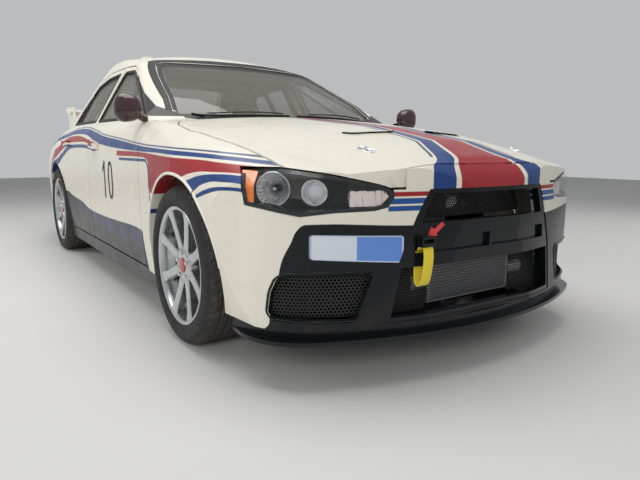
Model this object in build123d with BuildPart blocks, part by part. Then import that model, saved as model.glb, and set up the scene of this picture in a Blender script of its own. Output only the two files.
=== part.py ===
from build123d import *
import os
from math import cos, sin, radians, degrees, atan2, sqrt, hypot

os.makedirs("parts", exist_ok=True)

# Four-door rally saloon. X runs forward, Y to the car's left, Z up, millimetres.
# The origin is on the ground under the middle of the car.

# Driving sizes
wheelbase = 2650.0
front_axle_x = 1392.0
rear_axle_x = front_axle_x - wheelbase
wheel_y = 772.0            # middle of each tyre
tyre_radius = 325.0
tyre_width = 235.0
rim_lip_radius = 241.5
arch_radius = 366.0
nose_x = 2245.0
tail_x = -2265.0
floor_z = 150.0            # underside of the body
roof_z = 1425.0            # top of the roof
roof_peak_x = -450.0
roof_long_radius = 2100.0
roof_cross_radius = 3000.0

# Walls and gaps
door_wall = 62.0
top_wall = 28.0
floor_wall = 26.0
bumper_wall = 55.0
frame_wall = 38.0          # side window frames, measured in plan
screen_wall = 80.0         # raked ends of the cabin, measured in plan
roof_wall = 34.0
panel_gap = 8.0            # between panels that move
still_gap = 0.3            # between panels that are bolted to each other
pillar_gap = 18.0          # between the door frames at the roof
fit = 0.3                  # running clearance
glass_depth = 12.0         # glass behind the outer skin, in plan
glass_wall = 5.0

# Cross-sections of the lower body, nose to tail.
# x, half width at floor, half width at waist, waist z, shoulder y, shoulder z, edge y, edge z, middle z
body_sections = [
    (2320, 770, 820, 540, 790, 600, 560, 668, 708),
    (2000, 800, 850, 560, 810, 655, 590, 748, 828),
    (1650, 830, 888, 580, 872, 710, 712, 815, 890),
    (1392, 845, 905, 600, 893, 765, 742, 866, 916),
    (1120, 850, 890, 600, 884, 800, 758, 905, 944),
    (800, 846, 875, 600, 868, 810, 802, 925, 975),
    (-200, 846, 874, 600, 866, 830, 808, 944, 990),
    (-900, 848, 884, 610, 872, 820, 792, 952, 1000),
    (-1258, 848, 905, 620, 886, 790, 775, 945, 990),
    (-1700, 830, 872, 620, 846, 775, 742, 905, 962),
    (-2320, 770, 800, 600, 770, 760, 660, 868, 925),
]

# Plan outline of the cabin at two heights.
# z, screen middle x, screen corner x, y, side front x, y, side middle x, y,
# side rear x, y, rear corner x, y, rear middle x
cabin_rows = [
    (950, 950, 835, 683, 730, 770, -300, 808, -1430, 742, -1570, 640, -1660),
    (1310, 190, 109, 528, 30, 580, -400, 606, -1000, 566, -1110, 490, -1150),
]


def cabin_outline(z, side, ends):
    # a plan outline at height z, pulled in by side and by ends
    low, high = cabin_rows
    share = (z - low[0]) / (high[0] - low[0])
    mid_x, cor_x, cor_y, fx, fy, mx, my, rx, ry, rcx, rcy, rear_x = [
        a + (b - a) * share for a, b in zip(low[1:], high[1:])]
    front = (mid_x - ends, 0)
    corner = (cor_x - ends, cor_y - side)
    side_front = (fx - ends * 0.6, fy - side)
    side_rear = (rx + ends * 0.6, ry - side)
    rear_corner = (rcx + ends, rcy - side)
    return front, corner, side_front, (mx, my - side), side_rear, rear_corner, (rear_x + ends, 0)


def cabin_solid(side, ends, roof):
    # the cabin above the waist: raked sides under a roof crowned both ways
    with BuildPart() as cabin:
        for z in (850, 1460):
            front, corner, side_front, middle, side_rear, rear_corner, rear = cabin_outline(z, side, ends)
            with BuildSketch(Plane.XY.offset(z)):
                with BuildLine() as half:
                    ThreePointArc((corner[0], -corner[1]), front, corner)
                    Line(corner, side_front)
                    ThreePointArc(side_front, middle, side_rear)
                    Line(side_rear, rear_corner)
                    ThreePointArc(rear_corner, rear, (rear_corner[0], -rear_corner[1]))
                    Line((rear_corner[0], -rear_corner[1]), (side_rear[0], -side_rear[1]))
                    ThreePointArc((side_rear[0], -side_rear[1]), (middle[0], -middle[1]),
                                  (side_front[0], -side_front[1]))
                    Line((side_front[0], -side_front[1]), (corner[0], -corner[1]))
                make_face()
        loft(ruled=True)
        top = roof_z - roof
        half_width = 900
        drop = roof_cross_radius - sqrt(roof_cross_radius ** 2 - half_width ** 2)
        axis_z = top - roof_long_radius
        with BuildSketch(Plane.YZ.offset(roof_peak_x), mode=Mode.PRIVATE) as crown:
            with BuildLine():
                ThreePointArc((-half_width, top - drop), (0, top), (half_width, top - drop))
                Line((half_width, top - drop), (half_width, 700))
                Line((half_width, 700), (-half_width, 700))
                Line((-half_width, 700), (-half_width, top - drop))
            make_face()
        with BuildPart(mode=Mode.PRIVATE) as dome:
            add(crown.sketch)
            revolve(axis=Axis((roof_peak_x, 0, axis_z), (0, 1, 0)), revolution_arc=90)
            revolve(crown.sketch, axis=Axis((roof_peak_x, 0, axis_z), (0, -1, 0)), revolution_arc=90)
        add(dome.part, mode=Mode.INTERSECT)
    return cabin.part


def lower_solid(side, top, floor, ends):
    # the body below the waist: front-view sections lofted along X, trimmed by nose and tail
    with BuildPart() as lower:
        for x, wf, wm, zm, ys, zs, ye, ze, zc in body_sections:
            wf, wm, ys, ye = wf - side, wm - side, ys - side, ye - side * 0.75
            zs, ze, zc, z0 = zs - top * 0.5, ze - top, zc - top, floor_z + floor
            with BuildSketch(Plane.YZ.offset(x)):
                with BuildLine():
                    Line((-wf, z0), (wf, z0))
                    ThreePointArc((wf, z0), ((wf + wm) / 2 + 9, (z0 + zm) / 2), (wm, zm))
                    ThreePointArc((wm, zm), ((wm + ys) / 2 + 4, (zm + zs) / 2), (ys, zs))
                    ThreePointArc((ys, zs), (ys * 0.62 + ye * 0.38, zs * 0.38 + ze * 0.62), (ye, ze))
                    ThreePointArc((ye, ze), (0, zc), (-ye, ze))
                    ThreePointArc((-ye, ze), (-ys * 0.62 - ye * 0.38, zs * 0.38 + ze * 0.62), (-ys, zs))
                    ThreePointArc((-ys, zs), (-(wm + ys) / 2 - 4, (zm + zs) / 2), (-wm, zm))
                    ThreePointArc((-wm, zm), (-(wf + wm) / 2 - 9, (z0 + zm) / 2), (-wf, z0))
                make_face()
        loft(ruled=True)
        nose, tail = nose_x - ends, tail_x + ends
        # nose and tail in plan
        with BuildSketch(Plane.XY.offset(100)):
            with BuildLine():
                ThreePointArc((nose - 160, -690 + ends), (nose, 0), (nose - 160, 690 - ends))
                ThreePointArc((nose - 160, 690 - ends), (nose - 245, 782 - ends), (nose - 385, 832 - ends))
                Line((nose - 385, 832 - ends), (nose - 735, 960))
                Line((nose - 735, 960), (tail + 560, 960))
                Line((tail + 560, 960), (tail + 260, 800 - ends))
                ThreePointArc((tail + 260, 800 - ends), (tail + 120, 730 - ends), (tail + 50, 600 - ends))
                ThreePointArc((tail + 50, 600 - ends), (tail, 0), (tail + 50, -600 + ends))
                ThreePointArc((tail + 50, -600 + ends), (tail + 120, -730 + ends), (tail + 260, -800 + ends))
                Line((tail + 260, -800 + ends), (tail + 560, -960))
                Line((tail + 560, -960), (nose - 735, -960))
                Line((nose - 735, -960), (nose - 385, -832 + ends))
                ThreePointArc((nose - 385, -832 + ends), (nose - 245, -782 + ends), (nose - 160, -690 + ends))
            make_face()
        extrude(amount=1000, mode=Mode.INTERSECT)
        # nose and tail from the side
        with BuildSketch(Plane.XZ.offset(-1000)):
            with BuildLine():
                Polyline((nose - 30, 100), (nose - 12, 400), (nose - 4, 660 - top))
                ThreePointArc((nose - 4, 660 - top), (nose - 20, 712 - top), (nose - 60, 752 - top))
                Polyline((nose - 60, 752 - top), (nose - 300, 1100), (tail + 60, 1100),
                         (tail + 76, 900 - top), (tail + 60, 640), (tail, 560), (tail + 6, 330),
                         (tail + 90, 100), (nose - 30, 100))
            make_face()
        extrude(amount=2000, mode=Mode.INTERSECT)
    return lower.part


def side_region(points, y_low, y_high, grow=0.0):
    # a prism through the car from side to side, from a side-view outline
    with BuildPart() as region:
        with BuildSketch(Plane.XZ.offset(-y_high)):
            with BuildLine():
                Polyline(*points, close=True)
            make_face()
            if grow:
                offset(amount=grow, kind=Kind.INTERSECTION)
        extrude(amount=y_high - y_low)
    return region.part


def plan_region(points, z_low, z_high, grow=0.0):
    # an upright prism from a plan outline
    with BuildPart() as region:
        with BuildSketch(Plane.XY.offset(z_low)):
            with BuildLine():
                Polyline(*points, close=True)
            make_face()
            if grow:
                offset(amount=grow, kind=Kind.INTERSECTION)
        extrude(amount=z_high - z_low)
    return region.part


def front_region(points, x_low, x_high, grow=0.0):
    # a prism along the car from a front-view outline
    with BuildPart() as region:
        with BuildSketch(Plane.YZ.offset(x_low)):
            with BuildLine():
                Polyline(*points, close=True)
            make_face()
            if grow:
                offset(amount=grow, kind=Kind.INTERSECTION)
        extrude(amount=x_high - x_low)
    return region.part


def box_between(x0, x1, y0, y1, z0, z1):
    with BuildPart() as block:
        with Locations(((x0 + x1) / 2, (y0 + y1) / 2, (z0 + z1) / 2)):
            Box(abs(x1 - x0), abs(y1 - y0), abs(z1 - z0))
    return block.part


def both_sides(points):
    # the outline of one side and its mirror image as one closed outline
    return points + [(x, -y) for x, y in reversed(points) if y != 0]


def front_both(points):
    # the same for a front view, whose first number is the side
    return points + [(-y, z) for y, z in reversed(points) if y != 0]


corner_plane = Plane(origin=(0, 0, 0), x_dir=(-sin(radians(45)), cos(radians(45)), 0),
                     z_dir=(cos(radians(45)), sin(radians(45)), 0))


def corner_region(points, depth_low, depth_high, grow=0.0):
    # a prism square to the left front corner; points are distance along x minus y, and z
    with BuildPart() as region:
        with BuildSketch(corner_plane.offset(depth_low)):
            with BuildLine():
                Polyline(*[(-h, z) for h, z in points], close=True)
            make_face()
            if grow:
                offset(amount=grow, kind=Kind.INTERSECTION)
        extrude(amount=depth_high - depth_low)
    return region.part


def with_mirror(piece):
    # a left piece and its right twin as one node of two solids
    with BuildPart() as pair:
        add(piece)
        mirror(piece, about=Plane.XZ)
    return pair.part


def mirrored(piece):
    with BuildPart() as twin:
        mirror(piece, about=Plane.XZ)
    return twin.part


def write(part, name):
    part.label = name
    export_step(part, f"parts/{name}.step")


outer_lower = lower_solid(0, 0, 0, 0)
inner_lower = lower_solid(door_wall, top_wall, floor_wall, bumper_wall)
outer_cabin = cabin_solid(0, 0, 0)
inner_cabin = cabin_solid(frame_wall, screen_wall, roof_wall)

with BuildPart() as outer_body:
    add(outer_lower)
    add(outer_cabin)
with BuildPart() as inner_body:
    add(inner_lower)
    add(inner_cabin)
with BuildPart() as skin:
    add(outer_body.part)
    add(inner_body.part, mode=Mode.SUBTRACT)

# Where the panels meet
sill_z = 236.0
door_front_x = 900.0
pillar_x = -180.0           # seam between the doors
belt_z = 940.0
bonnet_rear_x = 985.0
bonnet_edge = [(bonnet_rear_x, 600), (1010, 705), (1154, 766), (1330, 778), (1500, 757), (1733, 722),
               (1860, 711), (1977, 707), (2075, 648), (2136, 575), (2165, 493), (2187, 420), (2192, 240),
               (2196, 0)]
bumper_seam_x = 1602.0
wing_tip_x = 1985.0         # the wing runs on over the lamp to here
lamp_top_z = 734.0
lamp_outline = [(712, lamp_top_z), (900, lamp_top_z), (904, 820), (1188, 820), (1186, 684), (1216, 673),
                (1238, 662), (1241, 638), (1222, 606), (1181, 595), (1060, 591), (953, 580), (905, 588),
                (826, 601), (754, 610), (737, 690)]
lid_front_x = -1700.0
lid_half_width = 650.0
lid_low_half_width = 500.0
tail_seam_z = 694.0
tail_lamp_z = 850.0
tail_lamp_x = -2000.0

front_door_outline = [
    (door_front_x, sill_z), (door_front_x, 880), (716, 884), (712, belt_z), (50, 1262), (-20, 1290),
    (pillar_x + pillar_gap / 2, 1298), (pillar_x + panel_gap / 2, belt_z), (pillar_x + panel_gap / 2, sill_z)]
door_corner_outline = [(door_front_x, 870), (door_front_x - 4, 900), (860, 980), (690, 980), (690, 870)]
door_corner_y = 778.0
rear_door_outline = [
    (pillar_x - panel_gap / 2, sill_z), (pillar_x - panel_gap / 2, belt_z), (pillar_x - pillar_gap / 2, 1298),
    (-500, 1296), (-830, 1262), (-1066, 1075), (-1078, 900), (-1062, 740), (-1027, 656), (-975, 608),
    (-925, 550), (-890, 486), (-868, 415), (-868, sill_z)]
front_window_outline = [(668, 958), (88, 1226), (20, 1250), (-126, 1256), (-132, 966)]
rear_window_outline = [(-228, 968), (-234, 1256), (-500, 1252), (-795, 1222), (-858, 1172), (-858, 974)]
quarter_window_outline = [(-888, 975), (-888, 1148), (-1012, 1050), (-1024, 978)]
screen_outline = [(0, 968), (612, 970), (636, 992), (607, 1105), (572, 1207), (526, 1294), (470, 1306),
                  (0, 1314)]
rear_screen_outline = [(0, 1015), (560, 1015), (440, 1288), (0, 1300)]
mouth_low_z, mouth_top_z = 215.0, 662.0
grille_outline = [(0, mouth_low_z), (452, mouth_low_z), (410, 420), (350, 570), (300, mouth_top_z),
                  (0, mouth_top_z)]

front_door_region = side_region(front_door_outline, 450, 1000)
door_corner_region = side_region(door_corner_outline, door_corner_y, 1000)
rear_door_region = side_region(rear_door_outline, 450, 1000)
front_window = side_region(front_window_outline, 450, 1000)
rear_window_cut = side_region(rear_window_outline, 450, 1000)
quarter_window_cut = side_region(quarter_window_outline, 450, 1000)

# Doors: left ones, then their twins
with BuildPart() as arches:
    for axle_x in (front_axle_x, rear_axle_x):
        for side in (-1, 1):
            with Locations(Plane((axle_x, side * 560, tyre_radius), x_dir=(1, 0, 0), z_dir=(0, side, 0))):
                Cylinder(arch_radius, 500, align=(Align.CENTER, Align.CENTER, Align.MIN))

handle_depth, handle_length, handle_height, handle_z = 16.0, 190.0, 34.0, 808.0


def door_handle(x, y, z):
    with BuildPart() as handle:
        with BuildSketch(Plane.XY.offset(z - handle_height / 2)):
            with Locations((x, y)):
                SlotOverall(handle_length, handle_depth * 2)
        extrude(amount=handle_height)
    return handle.part


with BuildPart() as door_front_left:
    add(front_door_region)
    add(door_corner_region)
    add(skin.part, mode=Mode.INTERSECT)
    add(front_window, mode=Mode.SUBTRACT)
    add(door_handle(0, 876, handle_z))
with BuildPart() as door_rear_left:
    add(rear_door_region)
    add(skin.part, mode=Mode.INTERSECT)
    add(rear_window_cut, mode=Mode.SUBTRACT)
    add(quarter_window_cut, mode=Mode.SUBTRACT)
    add(door_handle(-860, 880, handle_z + 24))

for name, piece in (("door_front", door_front_left), ("door_rear", door_rear_left)):
    write(piece.part, name + "_left")
    write(mirrored(piece.part), name + "_right")


# Window glass: the cabin's own side moved in by the glass depth
def pane(region_parts, shift, wall):
    with BuildPart() as glass:
        for region in region_parts:
            add(region)
        add(outer_cabin.moved(Location(shift)), mode=Mode.INTERSECT)
        add(outer_cabin.moved(Location(tuple(a + b for a, b in zip(shift, wall)))), mode=Mode.SUBTRACT)
    return glass.part


front_glass = pane([front_window], (0, -glass_depth, 0), (0, -glass_wall, 0))
rear_glass = pane([rear_window_cut, quarter_window_cut], (0, -glass_depth, 0), (0, -glass_wall, 0))
for name, piece in (("glass_front", front_glass), ("glass_rear", rear_glass)):
    write(piece, name + "_left")
    write(mirrored(piece), name + "_right")

screen_cut = front_region(front_both(screen_outline), -60, 1000)
rear_screen_cut = front_region(front_both(rear_screen_outline), -1800, -1050)
windscreen = pane([screen_cut], (-14, 0, 0), (-12, 0, 0))
rear_screen = pane([rear_screen_cut], (14, 0, 0), (12, 0, 0))
with BuildPart() as screens:
    add(windscreen)
    add(rear_screen)
write(screens.part, "screens")

# Bonnet: the top skin forward of the cowl, with a folded front lip
bonnet_region = plan_region(both_sides(bonnet_edge), 500, 1100)
bonnet_hole = plan_region(both_sides(bonnet_edge), mouth_top_z, 1100, panel_gap)
bay_low_z = 500.0
bay_hole = plan_region(both_sides(bonnet_edge), bay_low_z, 1100, panel_gap)
bonnet_low_z = mouth_top_z + panel_gap
bonnet_floor = [(900, 820), (1154, 790), (1868, bonnet_low_z), (2300, bonnet_low_z), (2300, 1100),
                (900, 1100)]
with BuildPart() as bonnet:
    add(bonnet_region)
    add(side_region(bonnet_floor, -900, 900), mode=Mode.INTERSECT)
    add(skin.part, mode=Mode.INTERSECT)
write(bonnet.part, "bonnet")

# Headlamps: a clear lens over a housing with two round bowls each
lamp_region = corner_region(lamp_outline, 500, 2600)
lamp_hole = corner_region(lamp_outline, 500, 2600, still_gap)
with BuildPart() as corner_block:
    add(lamp_region)
    add(outer_lower, mode=Mode.INTERSECT)
    add(bonnet_hole, mode=Mode.SUBTRACT)


def inward(depth):
    return Location((-depth * sin(radians(45)), -depth * sin(radians(45)), 0))


lens_wall, lamp_air, lamp_depth, bowl_back = 6.0, 20.0, 54.0, 10.0
with BuildPart() as lens:
    add(corner_block.part)
    add(outer_lower.moved(inward(lens_wall)), mode=Mode.SUBTRACT)
# bowls: distance along x minus y, z, radius
lamp_bowls = [(850, 662, 56), (985, 652, 42)]
with BuildPart() as bowls:
    with BuildSketch(corner_plane.offset(500)):
        for h, z, radius in lamp_bowls:
            with Locations((-h, z)):
                Circle(radius)
    extrude(amount=2100)
    add(outer_lower.moved(inward(lens_wall + lamp_air + lamp_depth - bowl_back)), mode=Mode.SUBTRACT)
with BuildPart() as lamp_unit:
    add(corner_block.part)
    add(outer_lower.moved(inward(lens_wall + lamp_air)), mode=Mode.INTERSECT)
    add(outer_lower.moved(inward(lens_wall + lamp_air + lamp_depth)), mode=Mode.SUBTRACT)
    add(bowls.part, mode=Mode.SUBTRACT)
write(with_mirror(lens.part), "headlamp_lenses")
write(with_mirror(lamp_unit.part), "headlamp_housings")

# Front bumper, with its grille and corner duct openings; the wings run on over the lamps
wing_front_x, wing_step_z = 1900.0, 700.0
bumper_side = [(bumper_seam_x, 100), (bumper_seam_x, 637), (wing_front_x, 612), (wing_front_x, wing_step_z),
               (wing_tip_x + still_gap, wing_step_z), (wing_tip_x + still_gap, 820), (2400, 820), (2400, 100)]
duct_outline = [(842, 262), (852, 330), (874, 376), (910, 390), (1164, 390), (1176, 376), (1132, 246),
                (1116, 236), (862, 244)]
bumper_low_z = 204.0
with BuildPart() as front_bumper:
    add(side_region(bumper_side, -1000, 1000))
    add(skin.part, mode=Mode.INTERSECT)
    add(bonnet_hole, mode=Mode.SUBTRACT)
    add(with_mirror(lamp_hole), mode=Mode.SUBTRACT)
    add(arches.part, mode=Mode.SUBTRACT)
    add(front_region(front_both(grille_outline), 2000, 2400), mode=Mode.SUBTRACT)
    add(with_mirror(corner_region(duct_outline, 500, 2600)), mode=Mode.SUBTRACT)
    add(plan_region([(1500, -1000), (2400, -1000), (2400, 1000), (1500, 1000)], 0, bumper_low_z),
        mode=Mode.SUBTRACT)
write(front_bumper.part, "front_bumper")

# Front wings, from the door edge to the bumper seam
fender_rear_x = door_front_x + panel_gap
fender_side = [(fender_rear_x, sill_z), (fender_rear_x, 1000), (wing_tip_x, 1000),
               (wing_tip_x, wing_step_z + still_gap), (wing_front_x - still_gap, wing_step_z + still_gap),
               (wing_front_x - still_gap, 612 + still_gap),
               (bumper_seam_x, 637 + still_gap), (bumper_seam_x - still_gap, 637),
               (bumper_seam_x - still_gap, sill_z)]
wing_inner_y = 705.0
fender_plan = [(fender_rear_x, wing_inner_y), (1040, wing_inner_y), (1100, 640), (wing_tip_x, 640),
               (wing_tip_x, 1000), (fender_rear_x, 1000)]
with BuildPart() as fender:
    add(side_region(fender_side, 0, 1000))
    add(plan_region(fender_plan, 0, 1100), mode=Mode.INTERSECT)
    add(skin.part, mode=Mode.INTERSECT)
    add(bonnet_hole, mode=Mode.SUBTRACT)
    add(lamp_hole, mode=Mode.SUBTRACT)
    add(arches.part, mode=Mode.SUBTRACT)
write(with_mirror(fender.part), "front_wings")

# Boot lid: deck and the tail face between the lamps
lid_plan = [(lid_front_x, 0), (lid_front_x, lid_half_width), (-2500, lid_half_width), (-2500, 0)]
lid_outline = [(0, tail_seam_z + panel_gap), (lid_low_half_width, tail_seam_z + panel_gap),
               (lid_low_half_width, tail_lamp_z), (lid_half_width, tail_lamp_z + 20), (lid_half_width, 1100),
               (0, 1100)]


def lid_region(grow):
    with BuildPart() as region:
        add(plan_region(both_sides(lid_plan[1:3]), 500, 1100, grow))
        add(front_region(front_both(lid_outline), -2600, -1600, grow), mode=Mode.INTERSECT)
    return region.part


with BuildPart() as boot_lid:
    add(lid_region(0))
    add(skin.part, mode=Mode.INTERSECT)
write(boot_lid.part, "boot_lid")

# Tail lamps
lamp_rear_outline = [(lid_low_half_width + panel_gap, tail_seam_z + still_gap),
                     (1000, tail_seam_z + still_gap), (1000, tail_lamp_z - 5),
                     (lid_low_half_width + panel_gap, tail_lamp_z - 15)]
with BuildPart() as tail_lamp:
    add(front_region(lamp_rear_outline, -2600, tail_lamp_x))
    add(skin.part, mode=Mode.INTERSECT)
write(with_mirror(tail_lamp.part), "tail_lamps")

# Rear bumper, notched round the tail pipe
pipe_y, pipe_z, pipe_radius, pipe_bore = -480.0, 226.0, 40.0, 35.0
rear_bumper_side = [(-1560, 100), (-1560, 600), (-1700, 640), (-1960, tail_seam_z), (-2400, tail_seam_z),
                    (-2400, 100)]
with BuildPart() as rear_bumper:
    add(side_region(rear_bumper_side, -1000, 1000))
    add(skin.part, mode=Mode.INTERSECT)
    add(arches.part, mode=Mode.SUBTRACT)
    add(plan_region([(-1700, -1000), (-2500, -1000), (-2500, 1000), (-1700, 1000)], 0, bumper_low_z),
        mode=Mode.SUBTRACT)
    add(plan_region([(-1400, -700), (-1700, -700), (-1700, 700), (-1400, 700)], 0, 1000), mode=Mode.SUBTRACT)
    with BuildSketch(Plane.YZ.offset(-2300)):
        with Locations((pipe_y, pipe_z)):
            Circle(pipe_radius + 8)
    extrude(amount=200, mode=Mode.SUBTRACT)
write(rear_bumper.part, "rear_bumper")

# Tow lugs: plates with a shackle hole across the car
lug_wall, lug_half_length, lug_bore = 12.0, 28.0, 18.0
front_lug_x, rear_lug_x, lug_hole_z = 1745.0, -2080.0, 180.0
leg_y, leg_half, leg_low_z, leg_high_z, radiator_x = 440.0, 30.0, 240.0, 300.0, 2080.0


def tow_lug(x, y, top, hole_z):
    with BuildPart() as lug:
        with BuildSketch(Plane.XZ.offset(-y - lug_wall / 2)):
            with Locations((x, hole_z)):
                Circle(lug_half_length)
            with Locations((x, (top + hole_z) / 2)):
                Rectangle(2 * lug_half_length, top - hole_z)
            with Locations((x, hole_z)):
                Circle(lug_bore, mode=Mode.SUBTRACT)
        extrude(amount=lug_wall)
    return lug.part


# Floor: cabin floor with its tunnel, a step over the rear axle, and the boot floor
firewall_x = 962.0
floor_front_x, step_front_x, step_rear_x, boot_rear_x = 985.0, -1000.0, -1434.0, -2135.0
floor_half_width, step_half_width, boot_half_width = 560.0, 398.0, 575.0
floor_top_z, step_z, boot_floor_z, sheet = floor_z + floor_wall, 480.0, 300.0, 14.0
with BuildPart() as floor_pan:
    for x0, x1, half, z0, z1 in ((step_front_x, floor_front_x, floor_half_width, floor_z, floor_top_z),
                                 (step_front_x, step_front_x + sheet, step_half_width, floor_z,
                                  step_z + sheet),
                                 (step_rear_x, step_front_x + sheet, step_half_width, step_z, step_z + sheet),
                                 (step_rear_x, step_rear_x + sheet, step_half_width, boot_floor_z,
                                  step_z + sheet),
                                 (boot_rear_x, step_rear_x + sheet, boot_half_width, boot_floor_z,
                                  boot_floor_z + sheet)):
        with Locations(((x0 + x1) / 2, 0, (z0 + z1) / 2)):
            Box(x1 - x0, 2 * half, z1 - z0)
    with BuildSketch(Plane.YZ.offset(step_front_x)):
        with BuildLine():
            Polyline((-140, floor_z), (-140, floor_top_z), (-100, 330), (100, 330), (140, floor_top_z),
                     (140, floor_z), close=True)
        make_face()
    extrude(amount=firewall_x - fit - step_front_x)
    with BuildSketch(Plane.YZ.offset(step_front_x + sheet)):
        with BuildLine():
            Polyline((-120, floor_z), (-120, floor_top_z), (-84, 316), (84, 316), (120, floor_top_z),
                     (120, floor_z), close=True)
        make_face()
    extrude(amount=floor_front_x - step_front_x, mode=Mode.SUBTRACT)
    add(tow_lug(rear_lug_x, leg_y, boot_floor_z, lug_hole_z))
write(floor_pan.part, "floor_pan")

def under_skin(x_low, x_high, half_width, wall):
    # a strip that follows the underside of the top skin, a running fit below it
    with BuildPart() as strip:
        add(box_between(x_low, x_high, -half_width, half_width, 800, 1100))
        add(inner_lower.moved(Location((0, 0, -fit))), mode=Mode.INTERSECT)
        add(inner_lower.moved(Location((0, 0, -fit - wall))), mode=Mode.SUBTRACT)
    return strip.part


# Body shell: what is left of the skin, with pillars, bulkheads and wheel tubs
bulkhead_x, plate = -1336.0, 14.0
tub_wall, tub_inner_y, tub_outer_y = 12.0, 560.0, {"front": 780.0, "rear": 860.0}
apron_y, tower_z = 546.0, 780.0
pillar_profile = [(735, floor_z), (790, floor_z), (800, 600), (788, 850), (754, 950), (566, 1290),
                  (500, 1375), (450, 1375), (524, 1280), (712, 940), (742, 850), (752, 600)]
with BuildPart() as body_shell:
    add(skin.part)
    for region in (side_region(front_door_outline, 450, 1000, panel_gap),
                   side_region(door_corner_outline, door_corner_y - panel_gap, 1000, panel_gap),
                   side_region(rear_door_outline, 450, 1000, panel_gap)):
        add(region, mode=Mode.SUBTRACT)
        add(mirrored(region), mode=Mode.SUBTRACT)
    add(bay_hole, mode=Mode.SUBTRACT)
    for low, high in ((wing_inner_y - still_gap, 1000), (-1000, still_gap - wing_inner_y)):
        add(side_region([(fender_rear_x - still_gap, sill_z - still_gap), (fender_rear_x - still_gap, 1100),
                         (2400, 1100), (2400, 100), (1600, 100), (1600, sill_z - still_gap)], low, high),
            mode=Mode.SUBTRACT)
    add(plan_region([(1040, -706), (2400, -706), (2400, 706), (1040, 706)], 0, 1100), mode=Mode.SUBTRACT)
    add(lid_region(panel_gap), mode=Mode.SUBTRACT)
    add(front_region(front_both([(0, 0), (1000, 0), (1000, tail_lamp_z), (0, tail_lamp_z)]), -2600,
                     tail_lamp_x + still_gap),
        mode=Mode.SUBTRACT)
    add(plan_region([(-1700, -floor_half_width), (1700, -floor_half_width), (1700, floor_half_width),
                     (-1700, floor_half_width)], 0, floor_top_z + 1), mode=Mode.SUBTRACT)
    add(plan_region([(-1700, -900), (step_front_x, -900), (step_front_x, 900), (-1700, 900)], 0,
                    floor_top_z + 1),
        mode=Mode.SUBTRACT)
    add(arches.part, mode=Mode.SUBTRACT)
    add(screen_cut, mode=Mode.SUBTRACT)
    add(rear_screen_cut, mode=Mode.SUBTRACT)
    # middle pillars behind the door seams
    for side in (-1, 1):
        with BuildSketch(Plane.YZ.offset(pillar_x - 40)):
            with BuildLine():
                Polyline(*[(side * y, z) for y, z in pillar_profile], close=True)
            make_face()
    extrude(amount=80)
    # bulkheads fore and aft of the cabin
    for x, low, high, half in ((firewall_x, floor_top_z, 930, 690), (bulkhead_x, step_z + sheet, 932, 600)):
        with BuildSketch(Plane.YZ.offset(x)):
            with BuildLine():
                Polyline((-half, low), (half, low), (half, 700), (half - 40, high), (-half + 40, high),
                         (-half, 700), close=True)
            make_face()
        extrude(amount=plate)
    # the shelf behind the seats, whose rear edge is the lid's seat, and the bonnet's seat at the cowl
    add(under_skin(-1735, bulkhead_x + plate, 575, 14))
    add(under_skin(firewall_x, 1012, 600, 18))
    # wheel tubs with their spring towers, and the engine bay's aprons
    for end, axle_x in (("front", front_axle_x), ("rear", rear_axle_x)):
        for side in (-1, 1):
            with BuildSketch(Plane.XZ.offset(-side * tub_inner_y)):
                with Locations((axle_x, tyre_radius)):
                    Circle(arch_radius + tub_wall)
                    Circle(arch_radius, mode=Mode.SUBTRACT)
                with Locations((axle_x, tyre_radius - 500)):
                    Rectangle(1200, 1000, mode=Mode.SUBTRACT)
            extrude(amount=-side * (tub_outer_y[end] - tub_inner_y))
            with Locations((axle_x, side * 500, tower_z + 7)):
                Box(180, 240, 14)
            with Locations((axle_x, side * 590, (tower_z + 690) / 2)):
                Box(180, 14, tower_z - 670)
    for side in (-1, 1):
        with Locations(((firewall_x + 1880) / 2, side * (apron_y + 8), 660)):
            Box(1880 - firewall_x, 16, 100)
    add(side_region(rear_bumper_side, -1000, 1000, still_gap), mode=Mode.SUBTRACT)
write(body_shell.part, "body_shell")

# Running gear: wheels turn on spindles that the knuckles carry
kingpin_y = 745.0
spindle_radius = 30.0
spindle_fit = 0.06
hub_inner_y = 770.0
hub_outer_y = 838.0
disc_radius, disc_inner_y, disc_outer_y = 165.0, 786.0, 799.0
spoke_inner, spoke_outer = 66.0, 100.0       # from the middle of the tyre, outboard
spoke_count = 8
barrel_radius = 203.0
ball_z_low, ball_z_high = 202.0, 448.0
arm_wall = 22.0

with BuildPart() as tyre:
    with BuildSketch(Plane.XZ):
        with BuildLine():
            Polyline((229.5, 95), (243, 103), (262, tyre_width / 2), (300, 115), (317, 103),
                     (tyre_radius, 84), (tyre_radius, -84), (317, -103), (300, -115), (262, -tyre_width / 2),
                     (243, -103), (229.5, -95),
                     (229.5, -76), (300, -90), (300, 90), (229.5, 76), close=True)
        make_face()
    revolve(axis=Axis.Z)

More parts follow.
